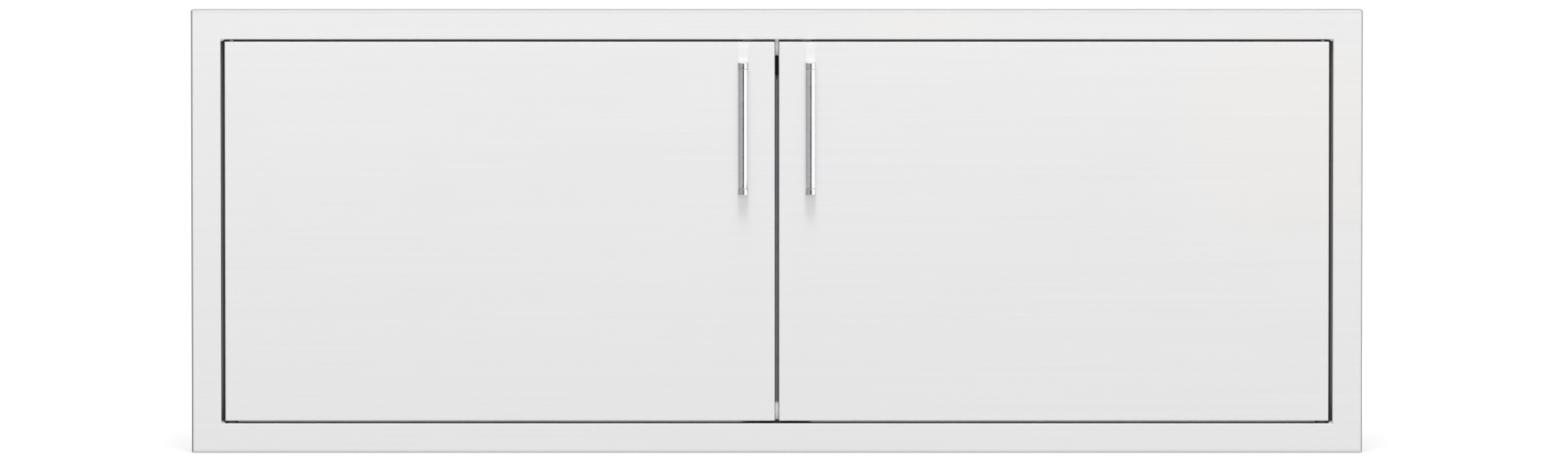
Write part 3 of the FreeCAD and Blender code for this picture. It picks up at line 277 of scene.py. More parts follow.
def make_grain_group():
    """Scratches: noise drawn out along the grain by a frequency for each axis."""
    inputs = {"Vector": "Vector", "Frequency": "Vector"}
    tree, given, out = new_group("Directional Grain", inputs, RELIEF)
    drawn = vector_maths(tree, "MULTIPLY", given["Vector"], given["Frequency"])
    fine = noise(tree, drawn, 1.0, 4.0, 0.65)
    broad = noise(tree, drawn, 0.23, 3.0, 0.6)
    height = calculate(tree, "MULTIPLY_ADD", fine, 0.6, calculate(tree, "MULTIPLY", broad, 0.4))
    put_out(out, Height=height, Shade=stretch(tree, broad, 0.3, 0.7))


def make_patches_group():
    """Large, soft patches that lean to a warm and to a cool colour."""
    inputs = {**PATTERN, "Plain": "Color", "Warm": "Color", "Cool": "Color"}
    tree, given, out = new_group("Soft Patches", inputs, {"Color": "Color"})
    moved = vector_maths(tree, "ADD", given["Vector"], (3.1, 1.7, 5.3))
    colour_now = given["Plain"]
    for point, leaning in ((given["Vector"], given["Warm"]), (moved, given["Cool"])):
        patch = stretch(tree, noise(tree, point, given["Frequency"], 1.0), 0.42, 0.62)
        colour_now = mix_colour(tree, patch, colour_now, leaning)
    put_out(out, Color=colour_now)


def make_edge_wear_and_highlight_group():
    """Mask of the edges, broken up by noise, where handling has polished them and where a highlight is
    painted on.
    """
    tree, given, out = new_group("Edge Wear and Highlight", {"Vector": "Vector", "Width": "Float"}, MASK)
    softened = add_node(tree, "Bevel", {"Radius": given["Width"]}, samples=4)
    real = add_node(tree, "NewGeometry")
    agreement = vector_maths(tree, "DOT_PRODUCT", softened.outputs["Normal"], real.outputs["Normal"])
    edge = stretch(tree, agreement, 0.995, 0.9)
    patchy = stretch(tree, noise(tree, given["Vector"], 90.0, 3.0), 0.35, 0.65, 0.35, 1.0)
    put_out(out, Mask=calculate(tree, "MULTIPLY", edge, patchy))


def make_smudge_group():
    """Mask of faint wiping marks and fingerprints."""
    tree, given, out = new_group("Smudges", PATTERN, MASK)
    wide = noise(tree, given["Vector"], given["Frequency"], 5.0, 0.6)
    close = noise(tree, given["Vector"], calculate(tree, "MULTIPLY", given["Frequency"], 7.0), 3.0, 0.6)
    marks = calculate(tree, "MULTIPLY_ADD", wide, 0.7, calculate(tree, "MULTIPLY", close, 0.3))
    put_out(out, Mask=stretch(tree, marks, 0.42, 0.66))


def make_moulded_group():
    """Skin of moulded nylon or rubber: a fine eroded texture, with a slower swell under it."""
    tree, given, out = new_group("Moulded Skin", PATTERN, RELIEF)
    cells = add_node(tree, "TexVoronoi", {"Vector": given["Vector"], "Scale": given["Frequency"]})
    swell = noise(tree, given["Vector"], calculate(tree, "MULTIPLY", given["Frequency"], 0.08), 3.0)
    height = calculate(tree, "MULTIPLY_ADD", cells.outputs["Distance"], 0.7, swell)
    put_out(out, Height=height, Shade=stretch(tree, swell, 0.35, 0.65))


def make_dust_group():
    """Mask of pale dust, which gathers on surfaces that face up and in the moulding's hollows."""
    tree, given, out = new_group("Dust", PATTERN, MASK)
    rise = split(tree, add_node(tree, "NewGeometry").outputs["Normal"])["Z"]
    facing_up = stretch(tree, rise, -0.2, 1.0, 0.25, 1.0)
    specks = stretch(tree, noise(tree, given["Vector"], given["Frequency"], 6.0, 0.7), 0.48, 0.72)
    put_out(out, Mask=calculate(tree, "MULTIPLY", facing_up, specks))


def make_spot_weld_group():
    """Spot welds in a row along each edge of two mirrored panels, given their middle and half size."""
    inputs = dict.fromkeys(("Vector", "Middle", "Half Size"), "Vector")
    inputs |= {"Pitch": "Float", "Radius": "Float"}
    tree, given, out = new_group("Spot Welds", inputs, {**MASK, "Height": "Float"})
    folded = vector_maths(tree, "ABSOLUTE", given["Vector"])
    middle = split(tree, given["Middle"])
    half = split(tree, given["Half Size"])
    from_x = calculate(tree, "SUBTRACT", split(tree, folded)["X"], middle["X"])
    from_z = calculate(tree, "SUBTRACT", split(tree, given["Vector"])["Z"], middle["Z"])
    near = []
    for along, across, side in ((from_x, from_z, half["Z"]), (from_z, from_x, half["X"])):
        step = calculate(tree, "PINGPONG", along, calculate(tree, "MULTIPLY", given["Pitch"], 0.5))
        off = calculate(tree, "SUBTRACT", calculate(tree, "ABSOLUTE", across), side)
        square = calculate(tree, "MULTIPLY_ADD", step, step, calculate(tree, "MULTIPLY", off, off))
        near.append(calculate(tree, "SQRT", square))
    distance = calculate(tree, "DIVIDE", calculate(tree, "MINIMUM", *near), given["Radius"])
    put_out(out, Mask=stretch(tree, distance, 2.4, 0.8), Height=stretch(tree, distance, 0.55, 1.0))


# Materials


# Blur of brushed steel, square to its grain: the direction that it runs in, its turn and its amount
SHEET_BLUR = ((1, 0.02, 0), 0.25, 1.0)
BAR_BLUR = ((0.02, 0, 1), 0.0, 0.6)


def new_material(name):
    """Material with an empty tree but for its shader; returns the material, its tree and the shader."""
    material = bpy.data.materials.new(name)
    material.use_nodes = True
    tree = material.node_tree
    return material, tree, tree.nodes["Principled BSDF"]


def coordinates(tree, kind="Object"):
    return add_node(tree, "TexCoord").outputs[kind]


def source(shader, label):
    """Socket that already feeds an input of a shader."""
    return shader.inputs[label].links[0].from_socket


def cover(shader, mask, tone):
    """Lays a colour over the one that the shader has, where the mask is 1."""
    covered = mix_colour(shader.id_data, mask, source(shader, "Base Color"), tone)
    feed(shader, "Base Color", covered)


def set_bump(shader, height, strength, distance=0.0001):
    """Bump, on top of the one that the shader may have."""
    inputs = {"Height": height, "Strength": strength, "Distance": distance}
    if shader.inputs["Normal"].is_linked:
        inputs["Normal"] = source(shader, "Normal")
    feed(shader, "Normal", add_node(shader.id_data, "Bump", inputs).outputs["Normal"])


def set_blur(tree, shader, direction, rotation, amount):
    """Anisotropic blur along a direction of the piece."""
    kinds = {"vector_type": "VECTOR", "convert_from": "OBJECT", "convert_to": "WORLD"}
    turned_with_piece = add_node(tree, "VectorTransform", {"Vector": direction}, **kinds)
    feed(shader, "Tangent", turned_with_piece.outputs[0])
    shader.inputs["Anisotropic"].default_value = amount
    shader.inputs["Anisotropic Rotation"].default_value = rotation


def times(tone, *factors):
    """Colour with each of its parts multiplied, all by one factor or each by its own."""
    factors = factors if len(factors) > 1 else factors * 3
    return tuple(part * factor for part, factor in zip(tone, factors))


def make_steel(
    name,
    tone,
    roughness,
    frequency,
    blur=None,
    warm=None,
    cool=None,
    contrast=0.06,
    bump=0.12,
    smudge=0.05,
    edge_width=0.0006,
    patch=1.6,
):
    """Stainless steel whose grain follows the frequencies given for X, Y and Z, in cycles to the metre."""
    _, tree, shader = new_material(name)
    point = coordinates(tree)
    colours = {
        "Plain": tone,
        "Warm": warm or times(tone, 1.01, 1.0, 0.975),
        "Cool": cool or times(tone, 0.975, 0.98, 1.0),
    }
    inputs = {"Vector": point, "Frequency": patch, **{label: (*value, 1) for label, value in colours.items()}}
    patches = use_group(tree, "Soft Patches", inputs)["Color"]
    grain = use_group(tree, "Directional Grain", {"Vector": point, "Frequency": frequency})
    edge_mask = use_group(tree, "Edge Wear and Highlight", {"Vector": point, "Width": edge_width})["Mask"]
    smears = use_group(tree, "Smudges", {"Vector": point, "Frequency": 2.5 * patch})["Mask"]
    shade = stretch(tree, grain["Shade"], 0.0, 1.0, 1.0 - contrast, 1.0)
    feed(shader, "Base Color", mix_colour(tree, 1.0, patches, shade, "MULTIPLY"))
    # Edges brightened: polished wear, and a painted edge highlight
    cover(shader, edge_mask, [min(1.0, part * 1.06 + 0.02) for part in tone])
    grained = calculate(tree, "MULTIPLY_ADD", grain["Height"], 0.12, roughness - 0.06)
    smeared = calculate(tree, "MULTIPLY_ADD", smears, smudge, grained)
    feed(shader, "Roughness", calculate(tree, "MULTIPLY_ADD", edge_mask, -0.08, smeared))
    shader.inputs["Metallic"].default_value = 1
    if blur:
        set_blur(tree, shader, *blur)
    set_bump(shader, grain["Height"], bump)
    return shader


def make_moulding(name, tone, roughness, frequency, dust, bump, sheen=0.0):
    """Moulded nylon or rubber with its skin, a little dust and paler edges."""
    _, tree, shader = new_material(name)
    point = coordinates(tree)
    skin = use_group(tree, "Moulded Skin", {"Vector": point, "Frequency": frequency})
    edge_mask = use_group(tree, "Edge Wear and Highlight", {"Vector": point, "Width": 0.0005})["Mask"]
    dusty = use_group(tree, "Dust", {"Vector": point, "Frequency": frequency * 0.12})["Mask"]
    feed(shader, "Base Color", mix_colour(tree, skin["Shade"], times(tone, 0.72), tone))
    # Paler edges: wear, and a painted edge highlight
    cover(shader, calculate(tree, "MULTIPLY", edge_mask, 0.5), [part * 1.8 + 0.01 for part in tone])
    cover(shader, calculate(tree, "MULTIPLY", dusty, dust), finishes().dust)
    matt = calculate(tree, "MULTIPLY_ADD", skin["Shade"], 0.1, roughness - 0.05)
    feed(shader, "Roughness", calculate(tree, "MULTIPLY_ADD", dusty, 0.25 * dust, matt))
    shader.inputs["Sheen Weight"].default_value = sheen
    shader.inputs["Sheen Roughness"].default_value = 0.5
    set_bump(shader, skin["Height"], bump)


def make_magnet(name, tone):
    """Sintered ferrite: dark, close-grained, with ground facets that catch the light."""
    _, tree, shader = new_material(name)
    point = coordinates(tree)
    grains = add_node(tree, "TexVoronoi", {"Vector": point, "Scale": 2600.0})
    mottled = stretch(tree, noise(tree, point, 420.0, 4.0), 0.35, 0.65)
    feed(shader, "Base Color", mix_colour(tree, mottled, times(tone, 0.6), tone))
    feed(shader, "Roughness", stretch(tree, mottled, 0, 1, 0.42, 0.62))
    shader.inputs["Metallic"].default_value = 0.6
    set_bump(shader, grains.outputs["Distance"], 0.25)


def dull_and_shade_flanges(shader, tone):
    """The brushing stops at the bends: surfaces turned away from the front keep a rougher mill finish, and
    are painted darker as shade.
    """
    tree = shader.id_data
    away = calculate(tree, "ABSOLUTE", split(tree, coordinates(tree, "Normal"))["Y"])
    unbrushed_and_shaded = stretch(tree, away, 0.4, 0.08)
    cover(shader, unbrushed_and_shaded, tone)
    rougher = calculate(tree, "MULTIPLY_ADD", unbrushed_and_shaded, 0.12, source(shader, "Roughness"))
    feed(shader, "Roughness", rougher)


def paint_rim_shade(shader, tone, outer, at_ends=(0.0015, 0.0005), at_edges=(0.0045, 0.0022), faintness=0.2):
    """Painted shade over a panel's outer bends, sharp at its ends, faint above and below.

    Each pair is how far in from the panel's outline this begins and how far in it is complete.
    """
    tree = shader.id_data
    at = split(tree, vector_maths(tree, "ABSOLUTE", coordinates(tree)))
    ends = stretch(tree, at["X"], *(outer.x - inset for inset in at_ends))
    edges = stretch(tree, at["Z"], *(outer.z - inset for inset in at_edges), 0.0, faintness)
    cover(shader, calculate(tree, "MAXIMUM", ends, edges), tone)


def add_spot_welds(shader, middle, half_size):
    """Spot welds on a steel: a dished ring in a halo of heat tint."""
    tree = shader.id_data
    rows = {"Vector": coordinates(tree), "Middle": middle, "Half Size": half_size}
    welds = use_group(
        tree, "Spot Welds", {**rows, "Pitch": sizes().spot_pitch, "Radius": sizes().spot_weld}
    )
    cover(shader, calculate(tree, "MULTIPLY", welds["Mask"], 0.55), finishes().heat_tint)
    set_bump(shader, welds["Height"], 0.7, 0.0004)


class MakeFinishes(bpy.types.Operator):
    """Make the shared node groups and every material"""

    bl_idname = "accessdoor.make_finishes"
    bl_label = "Make Finishes"

    ALONG_X = (11, 1500, 1500)
    FLANGE = 0.009

    def execute(self, context):
        groups = (
            make_grain_group,
            make_patches_group,
            make_edge_wear_and_highlight_group,
            make_smudge_group,
            make_moulded_group,
            make_dust_group,
            make_spot_weld_group,
        )
        for make_group in groups:
            make_group()
        look = finishes()
        self.make_sheets(look)
        self.make_fittings(look)
        make_moulding("black_nylon", look.nylon, 0.46, frequency=1500.0, dust=0.12, bump=0.25)
        rubber = {"frequency": 2200.0, "bump": 0.3}
        make_moulding("seal_rubber", look.seal, 0.7, dust=0.12, sheen=0.06, **rubber)
        make_moulding("bumper_rubber", look.bumper, 0.6, dust=0.25, sheen=0.2, **rubber)
        make_magnet("ferrite", look.magnet)
        return {"FINISHED"}

    def make_sheets(self, look):
        brushed = look.sheet_roughness, self.ALONG_X, SHEET_BLUR
        for name in ("brushed_sheet", "frame_sheet"):
            sheet = make_steel(name, look.sheet, *brushed, look.sheet_warm, look.sheet_cool, contrast=0.022)
            # Both sheets get painted shade on their flanges; the frame gets it on its outer rim as well
            dull_and_shade_flanges(sheet, look.surround)
            if name == "frame_sheet":
                # Painted shade on the frame's outer rim
                paint_rim_shade(sheet, times(look.surround, 0.6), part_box("face_frame")[1])
        # The jambs' mill sheet takes the dark surround tone: painted shade inside the gaps round the doors
        make_steel(
            "shaded_mill_sheet", look.surround, 0.6, (90, 260, 260), contrast=0.1, bump=0.08, smudge=0.12, patch=5
        )
        liner = make_steel("liner_sheet", look.mill, 0.46, (60, 420, 420), bump=0.1, smudge=0.08, patch=4)
        low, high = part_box("right_door_liner")
        add_spot_welds(liner, (low + high) / 2, (high - low) / 2 - Vector((self.FLANGE, 0, self.FLANGE)))
        make_steel("dressed_weld", look.dressed_weld, *brushed, contrast=0.1, patch=60, edge_width=0.0003)

    def make_fittings(self, look):
        turned = {"blur": BAR_BLUR, "bump": 0.05, "edge_width": 0.0004, "patch": 14}
        gloss = look.bar_roughness
        make_steel("satin_bar", look.bar, gloss, (260, 260, 4200), contrast=0.05, smudge=0.03, **turned)
        make_steel("satin_post", look.post, gloss, (300, 300, 4200), contrast=0.07, **turned)
        bright = {"blur": SHEET_BLUR, "bump": 0.02, "smudge": 0.04, "patch": 12}
        # Brackets seen between the doors are made lighter: painted light in the shaded gap
        make_steel("painted_light_bracket", look.painted_light_bracket, 0.2, (70, 900, 900), **bright)
        even = (700, 700, 700)
        # Dark steel for the bars' necks: painted shade in the grooves at the posts
        make_steel("groove_shade_steel", look.groove, 0.4, even, contrast=0.2, patch=60, edge_width=0.0001)
        make_steel("fastener_steel", look.fastener, 0.3, even, contrast=0.2, patch=60, edge_width=0.0003)
        make_steel("bracket_steel", look.bracket, 0.3, (70, 900, 900), contrast=0.12, patch=12, edge_width=0.0004)
        make_steel("turned_pin", look.pin, 0.24, (300, 300, 5200), contrast=0.12, patch=30, edge_width=0.0003)
        make_steel("spring_wire", look.wire, 0.3, (2200, 2200, 160), contrast=0.25, patch=60, edge_width=0.0002)
        beads = {"contrast": 0.3, "bump": 0.4, "patch": 70, "edge_width": 0.0003}
        make_steel("weld_bead", look.weld, 0.38, (900, 900, 900), **beads)


# CAD nodes that keep their shape


def dress(material, *nodes):
    for node in nodes:
        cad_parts[node].material_slots[0].material = bpy.data.materials[material]


def both(name):
    return [f"{hand}_{name}" for hand, _ in HANDS]


class FinishFrame(bpy.types.Operator):
    """Finish the face frame, the surround and the pivots in it"""

    bl_idname = "accessdoor.finish_frame"
    bl_label = "Finish Frame"

    def execute(self, context):
        dress("frame_sheet", "face_frame")
        # Jambs painted dark: shade in the gaps round the doors
        dress("shaded_mill_sheet", "top_jamb", "bottom_jamb", *both("jamb"))
        dress("black_nylon", *both("top_bushing"), *both("pivot_washer"))
        dress("turned_pin", *both("bottom_pin"))
        return {"FINISHED"}


class FinishDoors(bpy.types.Operator):
    """Finish the doors' skins and liners, and what is fixed inside them"""

    bl_idname = "accessdoor.finish_doors"
    bl_label = "Finish Doors"

    def execute(self, context):
        dress("brushed_sheet", *both("door_skin"))
        dress("liner_sheet", *both("door_liner"))
        dress("black_nylon", *both("bottom_bushing"))
        dress("bracket_steel", *both("pin_guide"), *both("backing_plate"), *both("strike_plate"))
        dress("turned_pin", *both("top_pin"))
        dress("spring_wire", *both("pin_clip"))
        return {"FINISHED"}


class FinishCatch(bpy.types.Operator):
    """Finish the brackets, the magnets and their pole plates"""

    bl_idname = "accessdoor.finish_catch"
    bl_label = "Finish Catch and Stop"

    def execute(self, context):
        # Lightened steel: painted light on the brackets in the gap between the doors
        dress("painted_light_bracket", "catch_bracket", "stop_bracket")
        dress("bracket_steel", "catch_pole_plates")
        dress("ferrite", "catch_magnets")
        return {"FINISHED"}


# Meshes made of closed loops of points


def angles(count):
    return [TURN * step / count for step in range(count)]


def quarter_turn(steps):
    """Angles from nothing to a right angle, both included."""
    return [0.25 * TURN * step / steps for step in range(steps + 1)]


def ring(radius, height, turns):
    """Loop round Z at a height; the radius is a number or a function of the angle."""
    reach = radius if callable(radius) else lambda angle: radius
    return [Vector((reach(a) * math.cos(a), reach(a) * math.sin(a), height)) for a in turns]


def rings(sizes_and_heights, turns):
    return [ring(size, height, turns) for size, height in sizes_and_heights]


def join_loops(mesh, loops, place=None, closed=False):
    """Faces between each loop and the next, with the ends capped or, if closed, joined up."""
    place = place or Matrix()
    rows = [[mesh.verts.new(place @ point) for point in loop] for loop in loops]
    following = rows[1:] + rows[:1] if closed else rows[1:]
    for row, other in zip(rows, following):
        for here in range(len(row)):
            then = (here + 1) % len(row)
            mesh.faces.new((row[here], row[then], other[then], other[here]))
    if not closed:
        mesh.faces.new(reversed(rows[0]))
        mesh.faces.new(rows[-1])


def placed(at, axis=UP):
    """Matrix that brings a piece made round Z to a place, its Z along an axis."""
    return Matrix.Translation(at) @ UP.rotation_difference(axis).to_matrix().to_4x4()


def quarter(radius, steps=4):
    """Points (inset, rise) of a rounded edge, from the flat end face to the side."""
    return [(radius * (1 - math.sin(a)), radius * (1 - math.cos(a))) for a in quarter_turn(steps)]


def turned_profile(mesh, profile, at, axis, sides=40):
    """Solid turned from (radius, height) points, from its one end to the other."""
    join_loops(mesh, rings(profile, angles(sides)), placed(at, axis))


def add_object(name, data):
    made = bpy.data.objects.new(name, data)
    bpy.context.scene.collection.objects.link(made)
    return made


def mesh_data(name, mesh):
    """Blender mesh of a finished bmesh, which is freed."""
    bmesh.ops.recalc_face_normals(mesh, faces=mesh.faces)
    data = bpy.data.meshes.new(name)
    mesh.to_mesh(data)
    mesh.free()
    return data


def add_piece(name, mesh, body, slot, *nodes, material=None, sharp=32):
    """Blender object of a finished mesh, riding on its body and standing for its CAD nodes."""
    data = mesh_data(name, mesh)
    data.shade_smooth()
    data.set_sharp_from_angle(angle=math.radians(sharp))
    data.materials.append(bpy.data.materials[material or slot])
    piece = add_object(name, data)
    piece.modifiers.new("even shading", "WEIGHTED_NORMAL").keep_sharp = True
    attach(piece, body)
    if nodes:
        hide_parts(*nodes)
    return piece


def middle_of(node):
    low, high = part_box(node)
    return (low + high) / 2


# Pulls


def post_outline(radius, reach, inset, height, front_steps=32, side_steps=6, foot_steps=8):
    """Outline of a post from above: round at the front, straight back to its foot on the door."""
    side = radius - inset
    front = [math.pi * step / front_steps - math.pi for step in range(front_steps + 1)]
    points = [(side * math.cos(a), side * math.sin(a)) for a in front]
    run = [reach * step / side_steps for step in range(1, side_steps + 1)]
    points += [(side, y) for y in run]
    points += [(side * (1 - 2 * step / foot_steps), reach) for step in range(1, foot_steps)]
    points += [(-side, y) for y in reversed(run)]
    return [Vector((x, y, height)) for x, y in points]


def add_post(mesh, axis, reach, radius, bore, depth, outer_z, inner_z):
    """Post between an outer end and the end that the bar enters, with a bore for the bar's spigot."""
    detail = sizes()
    thickness = abs(inner_z - outer_z)
    loops = [post_outline(radius, reach, inset, rise) for inset, rise in quarter(detail.post_edge)]
    for inset, rise in reversed(quarter(detail.post_joint, 2)):
        loops.append(post_outline(radius, reach, inset, thickness - rise))
    turns = [math.atan2(point.y, point.x) for point in loops[0]]
    lead = detail.post_joint
    loops += rings(((bore + lead, thickness), (bore, thickness - lead), (bore, thickness - depth)), turns)
    upright = 1 if inner_z > outer_z else -1
    place = Matrix.Translation((axis.x, axis.y, outer_z)) @ Matrix.Diagonal((1, 1, upright, 1))
    join_loops(mesh, loops, place)


def bar_loops(radius, spigot, low, shoulder_low, shoulder_high, high):
    """Bar of a pull with a thinner spigot at each end, and a neck that leaves a shadow at each post."""
    detail = sizes()
    edge = detail.bar_edge
    neck = radius - detail.neck_depth
    profile = []
    for end, shoulder, inwards in ((low, shoulder_low, 1), (high, shoulder_high, -1)):
        start = shoulder + inwards * detail.bar_neck
        half = [(spigot - edge, end), (spigot, end + inwards * edge), (spigot, shoulder), (neck, shoulder)]
        half.append((neck, start))
        half += [(radius - inset, start + inwards * rise) for inset, rise in quarter(edge, 3)]
        profile += half[::inwards]
    return rings(profile, angles(detail.round_sides))


class BuildPulls(bpy.types.Operator):
    """Turn the bars and shape the posts of both pulls"""

    bl_idname = "accessdoor.build_pulls"
    bl_label = "Build Pulls"

    SPIGOT_CLEARANCE = 0.00005

    def execute(self, context):
        thickness = sizes().post_thickness
        for hand, _ in HANDS:
            low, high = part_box(f"{hand}_handle_bar")
            post_low, post_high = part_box(f"{hand}_handle_posts")
            shoulders = post_low.z + thickness, post_high.z - thickness
            axis = (low + high) / 2
            spigot = self.spigot_radius(hand, low.z)
            self.build_bar(hand, axis, ((high.x - low.x) / 2, spigot, low.z, *shoulders, high.z), shoulders)
            posts = bmesh.new()
            foot = post_high.y - axis.y, (post_high.x - post_low.x) / 2
            bore = spigot + self.SPIGOT_CLEARANCE, shoulders[0] - low.z + self.SPIGOT_CLEARANCE
            for ends in zip((post_low.z, post_high.z), shoulders):
                add_post(posts, axis, *foot, *bore, *ends)
            self.finish(hand, "posts", posts, "satin_post")
        return {"FINISHED"}

    def build_bar(self, hand, axis, measures, shoulders):
        mesh = bmesh.new()
        join_loops(mesh, bar_loops(*measures), Matrix.Translation((axis.x, axis.y, 0)))
        piece = self.finish(hand, "bar", mesh, "satin_bar")
        # The neck's faces take the dark groove steel: painted shade where bar meets post
        piece.data.materials.append(bpy.data.materials["groove_shade_steel"])
        near = 0.9 * sizes().bar_neck
        for face in piece.data.polygons:
            face.material_index = int(min(abs(face.center.z - z) for z in shoulders) < near)

    def finish(self, hand, part, mesh, material):
        name, node = f"{hand}_pull_{part}", f"{hand}_handle_{part}"
        return add_piece(name, mesh, f"{hand}_door", "handle_steel", node, material=material)

    def spigot_radius(self, hand, level):
        """Radius of the CAD bar at its very end."""
        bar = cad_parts[f"{hand}_handle_bar"].data
        ends = [v.co.x for v in bar.vertices if abs(v.co.z - level) < 1e-6]
        return (max(ends) - min(ends)) / 2


# Screws, nuts and rivets


def cross(reach, arm):
    """Radius of a cross of four arms, as a function of the angle."""

    def radius(angle):
        sine, cosine = abs(math.sin(angle)), abs(math.cos(angle))
        along_x = min(reach, arm / sine) if sine > 1e-9 else reach
        along_y = min(reach, arm / cosine) if cosine > 1e-9 else reach
        return max(along_x, along_y)

    return radius


def hexagon(flats, limit=math.inf):
    """Radius of a hexagon with corners on X, cut by a circle if a limit is given."""

    def radius(angle):
        corner = (angle % (TURN / 6)) - TURN / 12
        return min(flats / 2 / math.cos(corner), limit)

    return radius


def screw_loops(radius, run, head_radius, head_height, pitch):
    """Pan head screw with a cross recess; Z runs from under its head to its tip."""
    reach, arm, depth = 0.56 * head_radius, 0.17 * head_radius, 0.6 * head_height
    top, dome = -head_height, 0.45 * head_height
    profile = [
        (cross(0.5 * reach, 0.7 * arm), top + depth),
        (cross(reach, arm), top + 0.1 * head_height),
        (cross(1.06 * reach, 1.15 * arm), top + 0.02 * head_height),
    ]
    for a in quarter_turn(4):
        profile.append((head_radius * (0.7 + 0.3 * math.sin(a)), top + dome * (1 - math.cos(a))))
    profile += [(head_radius, -0.08 * head_height), (0.97 * head_radius, 0), (radius, 0)]
    height = pitch
    while height < run - 1.5 * pitch:
        profile += [(radius, height), (radius - 0.35 * pitch, height + 0.5 * pitch)]
        height += pitch
    profile += [(radius, height), (0.72 * radius, run)]
    return rings(profile, angles(48))


def nut_loops(flats, bore, height):
    """Hexagon nut, chamfered on both faces and inside its bore."""
    face, rise, lead = 0.485 * flats, 0.035 * flats, 0.06 * flats
    lower = [
        (bore, lead),
        (bore + lead, 0),
        (hexagon(flats, face), 0),
        (hexagon(flats, face + 1.9 * rise), rise),
        (hexagon(flats), 2 * rise),
    ]
    upper = [(size, height - level) for size, level in reversed(lower)]
    return rings(lower + upper, angles(48))


def rivet_loops(shank, head_radius, head_height, grip):
    """Blind rivet: domed head with the hole that its mandrel left; Z runs from under its head."""
    top, mouth, bulb = -head_height, 0.62 * shank, 1.5 * shank
    profile = [(0.42 * shank, top + 0.75 * head_height), (0.5 * shank, top + 0.12 * head_height)]
    profile.append((mouth, top))
    for a in quarter_turn(6)[1:]:
        height = top + 0.85 * head_height * (1 - math.cos(a))
        profile.append((mouth + (head_radius - mouth) * math.sin(a), height))
    profile += [(head_radius, -0.05 * head_height), (shank, 0), (shank, grip), (bulb, grip)]
    end = grip + 0.95 * shank
    profile += [(bulb - inset, end - rise) for inset, rise in reversed(quarter(0.4 * shank))]
    return rings(profile, angles(32))


def add_screws(name, node, screw, axis, places, body="frame"):
    """Screws that stand for a CAD node, each at a place given square to the axis."""
    low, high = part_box(node)
    radius, head_radius, head_height = screw
    run = (high - low).dot(Vector(map(abs, axis))) - head_height
    start = low if max(axis) > 0 else high
    mesh = bmesh.new()
    for place in places:
        seat = Vector(place)
        for index in range(3):
            if axis[index]:
                seat[index] = start[index] + axis[index] * head_height
        loops = screw_loops(radius, run, head_radius, head_height, sizes().screw_pitch)
        join_loops(mesh, loops, placed(seat, axis))
    add_piece(name, mesh, body, "fastener_steel", node)


class BuildFasteners(bpy.types.Operator):
    """Build the screws with their recesses and threads, the nuts and the rivets"""

    bl_idname = "accessdoor.build_fasteners"
    bl_label = "Build Fasteners"

    # Radius of the shank, radius and height of the head and, for the rivets, the grip
    BRACKET_SCREW = (0.002, 0.0038, 0.0024)
    CATCH_SCREW = (0.0016, 0.0032, 0.00192)
    PULL_SCREW = (0.002, 0.004, 0.0026)
    RIVET = (0.0016, 0.003, 0.0011, 0.0021)
    NUT_FLATS = 0.007
    NUT_CLEARANCE = 0.00005

    def execute(self, context):
        for name, axis in (("catch", UP), ("stop", DOWN)):
            node = f"{name}_bracket_screws"
            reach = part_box(node)[1].x - self.BRACKET_SCREW[1]
            places = [(hand * reach, middle_of(node).y, 0) for _, hand in HANDS]
            add_screws(f"{name}_mounting_screws", node, self.BRACKET_SCREW, axis, places)
            self.add_nuts(name, reach, axis)
        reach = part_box("catch_screws")[1].x - self.CATCH_SCREW[1]
        places = [(hand * reach, 0, middle_of("catch_screws").z) for _, hand in HANDS]
        add_screws("catch_housing_screws", "catch_screws", self.CATCH_SCREW, TO_FRONT, places)
        for hand, _ in HANDS:
            node = f"{hand}_handle_screws"
            low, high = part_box(node)
            head = self.PULL_SCREW[1]
            places = [(middle_of(node).x, 0, z) for z in (low.z + head, high.z - head)]
            add_screws(f"{hand}_pull_screws", node, self.PULL_SCREW, TO_FRONT, places, f"{hand}_door")
            self.add_rivets(hand)
        return {"FINISHED"}

    def add_nuts(self, name, reach, axis):
        node = f"{name}_bracket_nuts"
        low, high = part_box(node)
        mesh = bmesh.new()
        bore = self.BRACKET_SCREW[0] + self.NUT_CLEARANCE
        for _, hand in HANDS:
            at = (hand * reach, middle_of(node).y, low.z if axis is UP else high.z)
            join_loops(mesh, nut_loops(self.NUT_FLATS, bore, high.z - low.z), placed(at, axis), closed=True)
        add_piece(f"{name}_mounting_nuts", mesh, "frame", "fastener_steel", node)

    def add_rivets(self, hand):
        node = f"{hand}_strike_rivets"
        head, rise = self.RIVET[1:3]
        low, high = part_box(node)
        mesh = bmesh.new()
        for z in (low.z + head, high.z - head):
            place = placed((middle_of(node).x, high.y - rise, z), TO_FRONT)
            join_loops(mesh, rivet_loops(*self.RIVET), place)
        add_piece(f"{hand}_strike_plate_rivets", mesh, f"{hand}_door", "fastener_steel", node)


# Springs


def spring_loops(radius, wire, turns, closed, low, high, steps=40, sides=12):
    """Compression spring as loops round its wire; closed is how many turns lie shut at each end."""
    count = int(turns * steps)
    rise = high - low - 2 * wire
    loops = []
    for step in range(count + 1):
        turn = turns * step / count
        open_part = min(max((turn - closed) / (turns - 2 * closed), 0), 1)
        z = low + wire + (rise - 2 * closed * wire) * open_part
        z += wire * (min(turn, closed) + max(turn - turns + closed, 0))
        angle = TURN * turn
        out = Vector((math.cos(angle), math.sin(angle), 0))
        along = Vector((-math.sin(angle), math.cos(angle), rise / turns / (TURN * radius))).normalized()
        up = out.cross(along).normalized()
        centre = out * radius + UP * z
        loops.append([centre + wire * (out * math.cos(a) + up * math.sin(a)) for a in angles(sides)])
    return loops


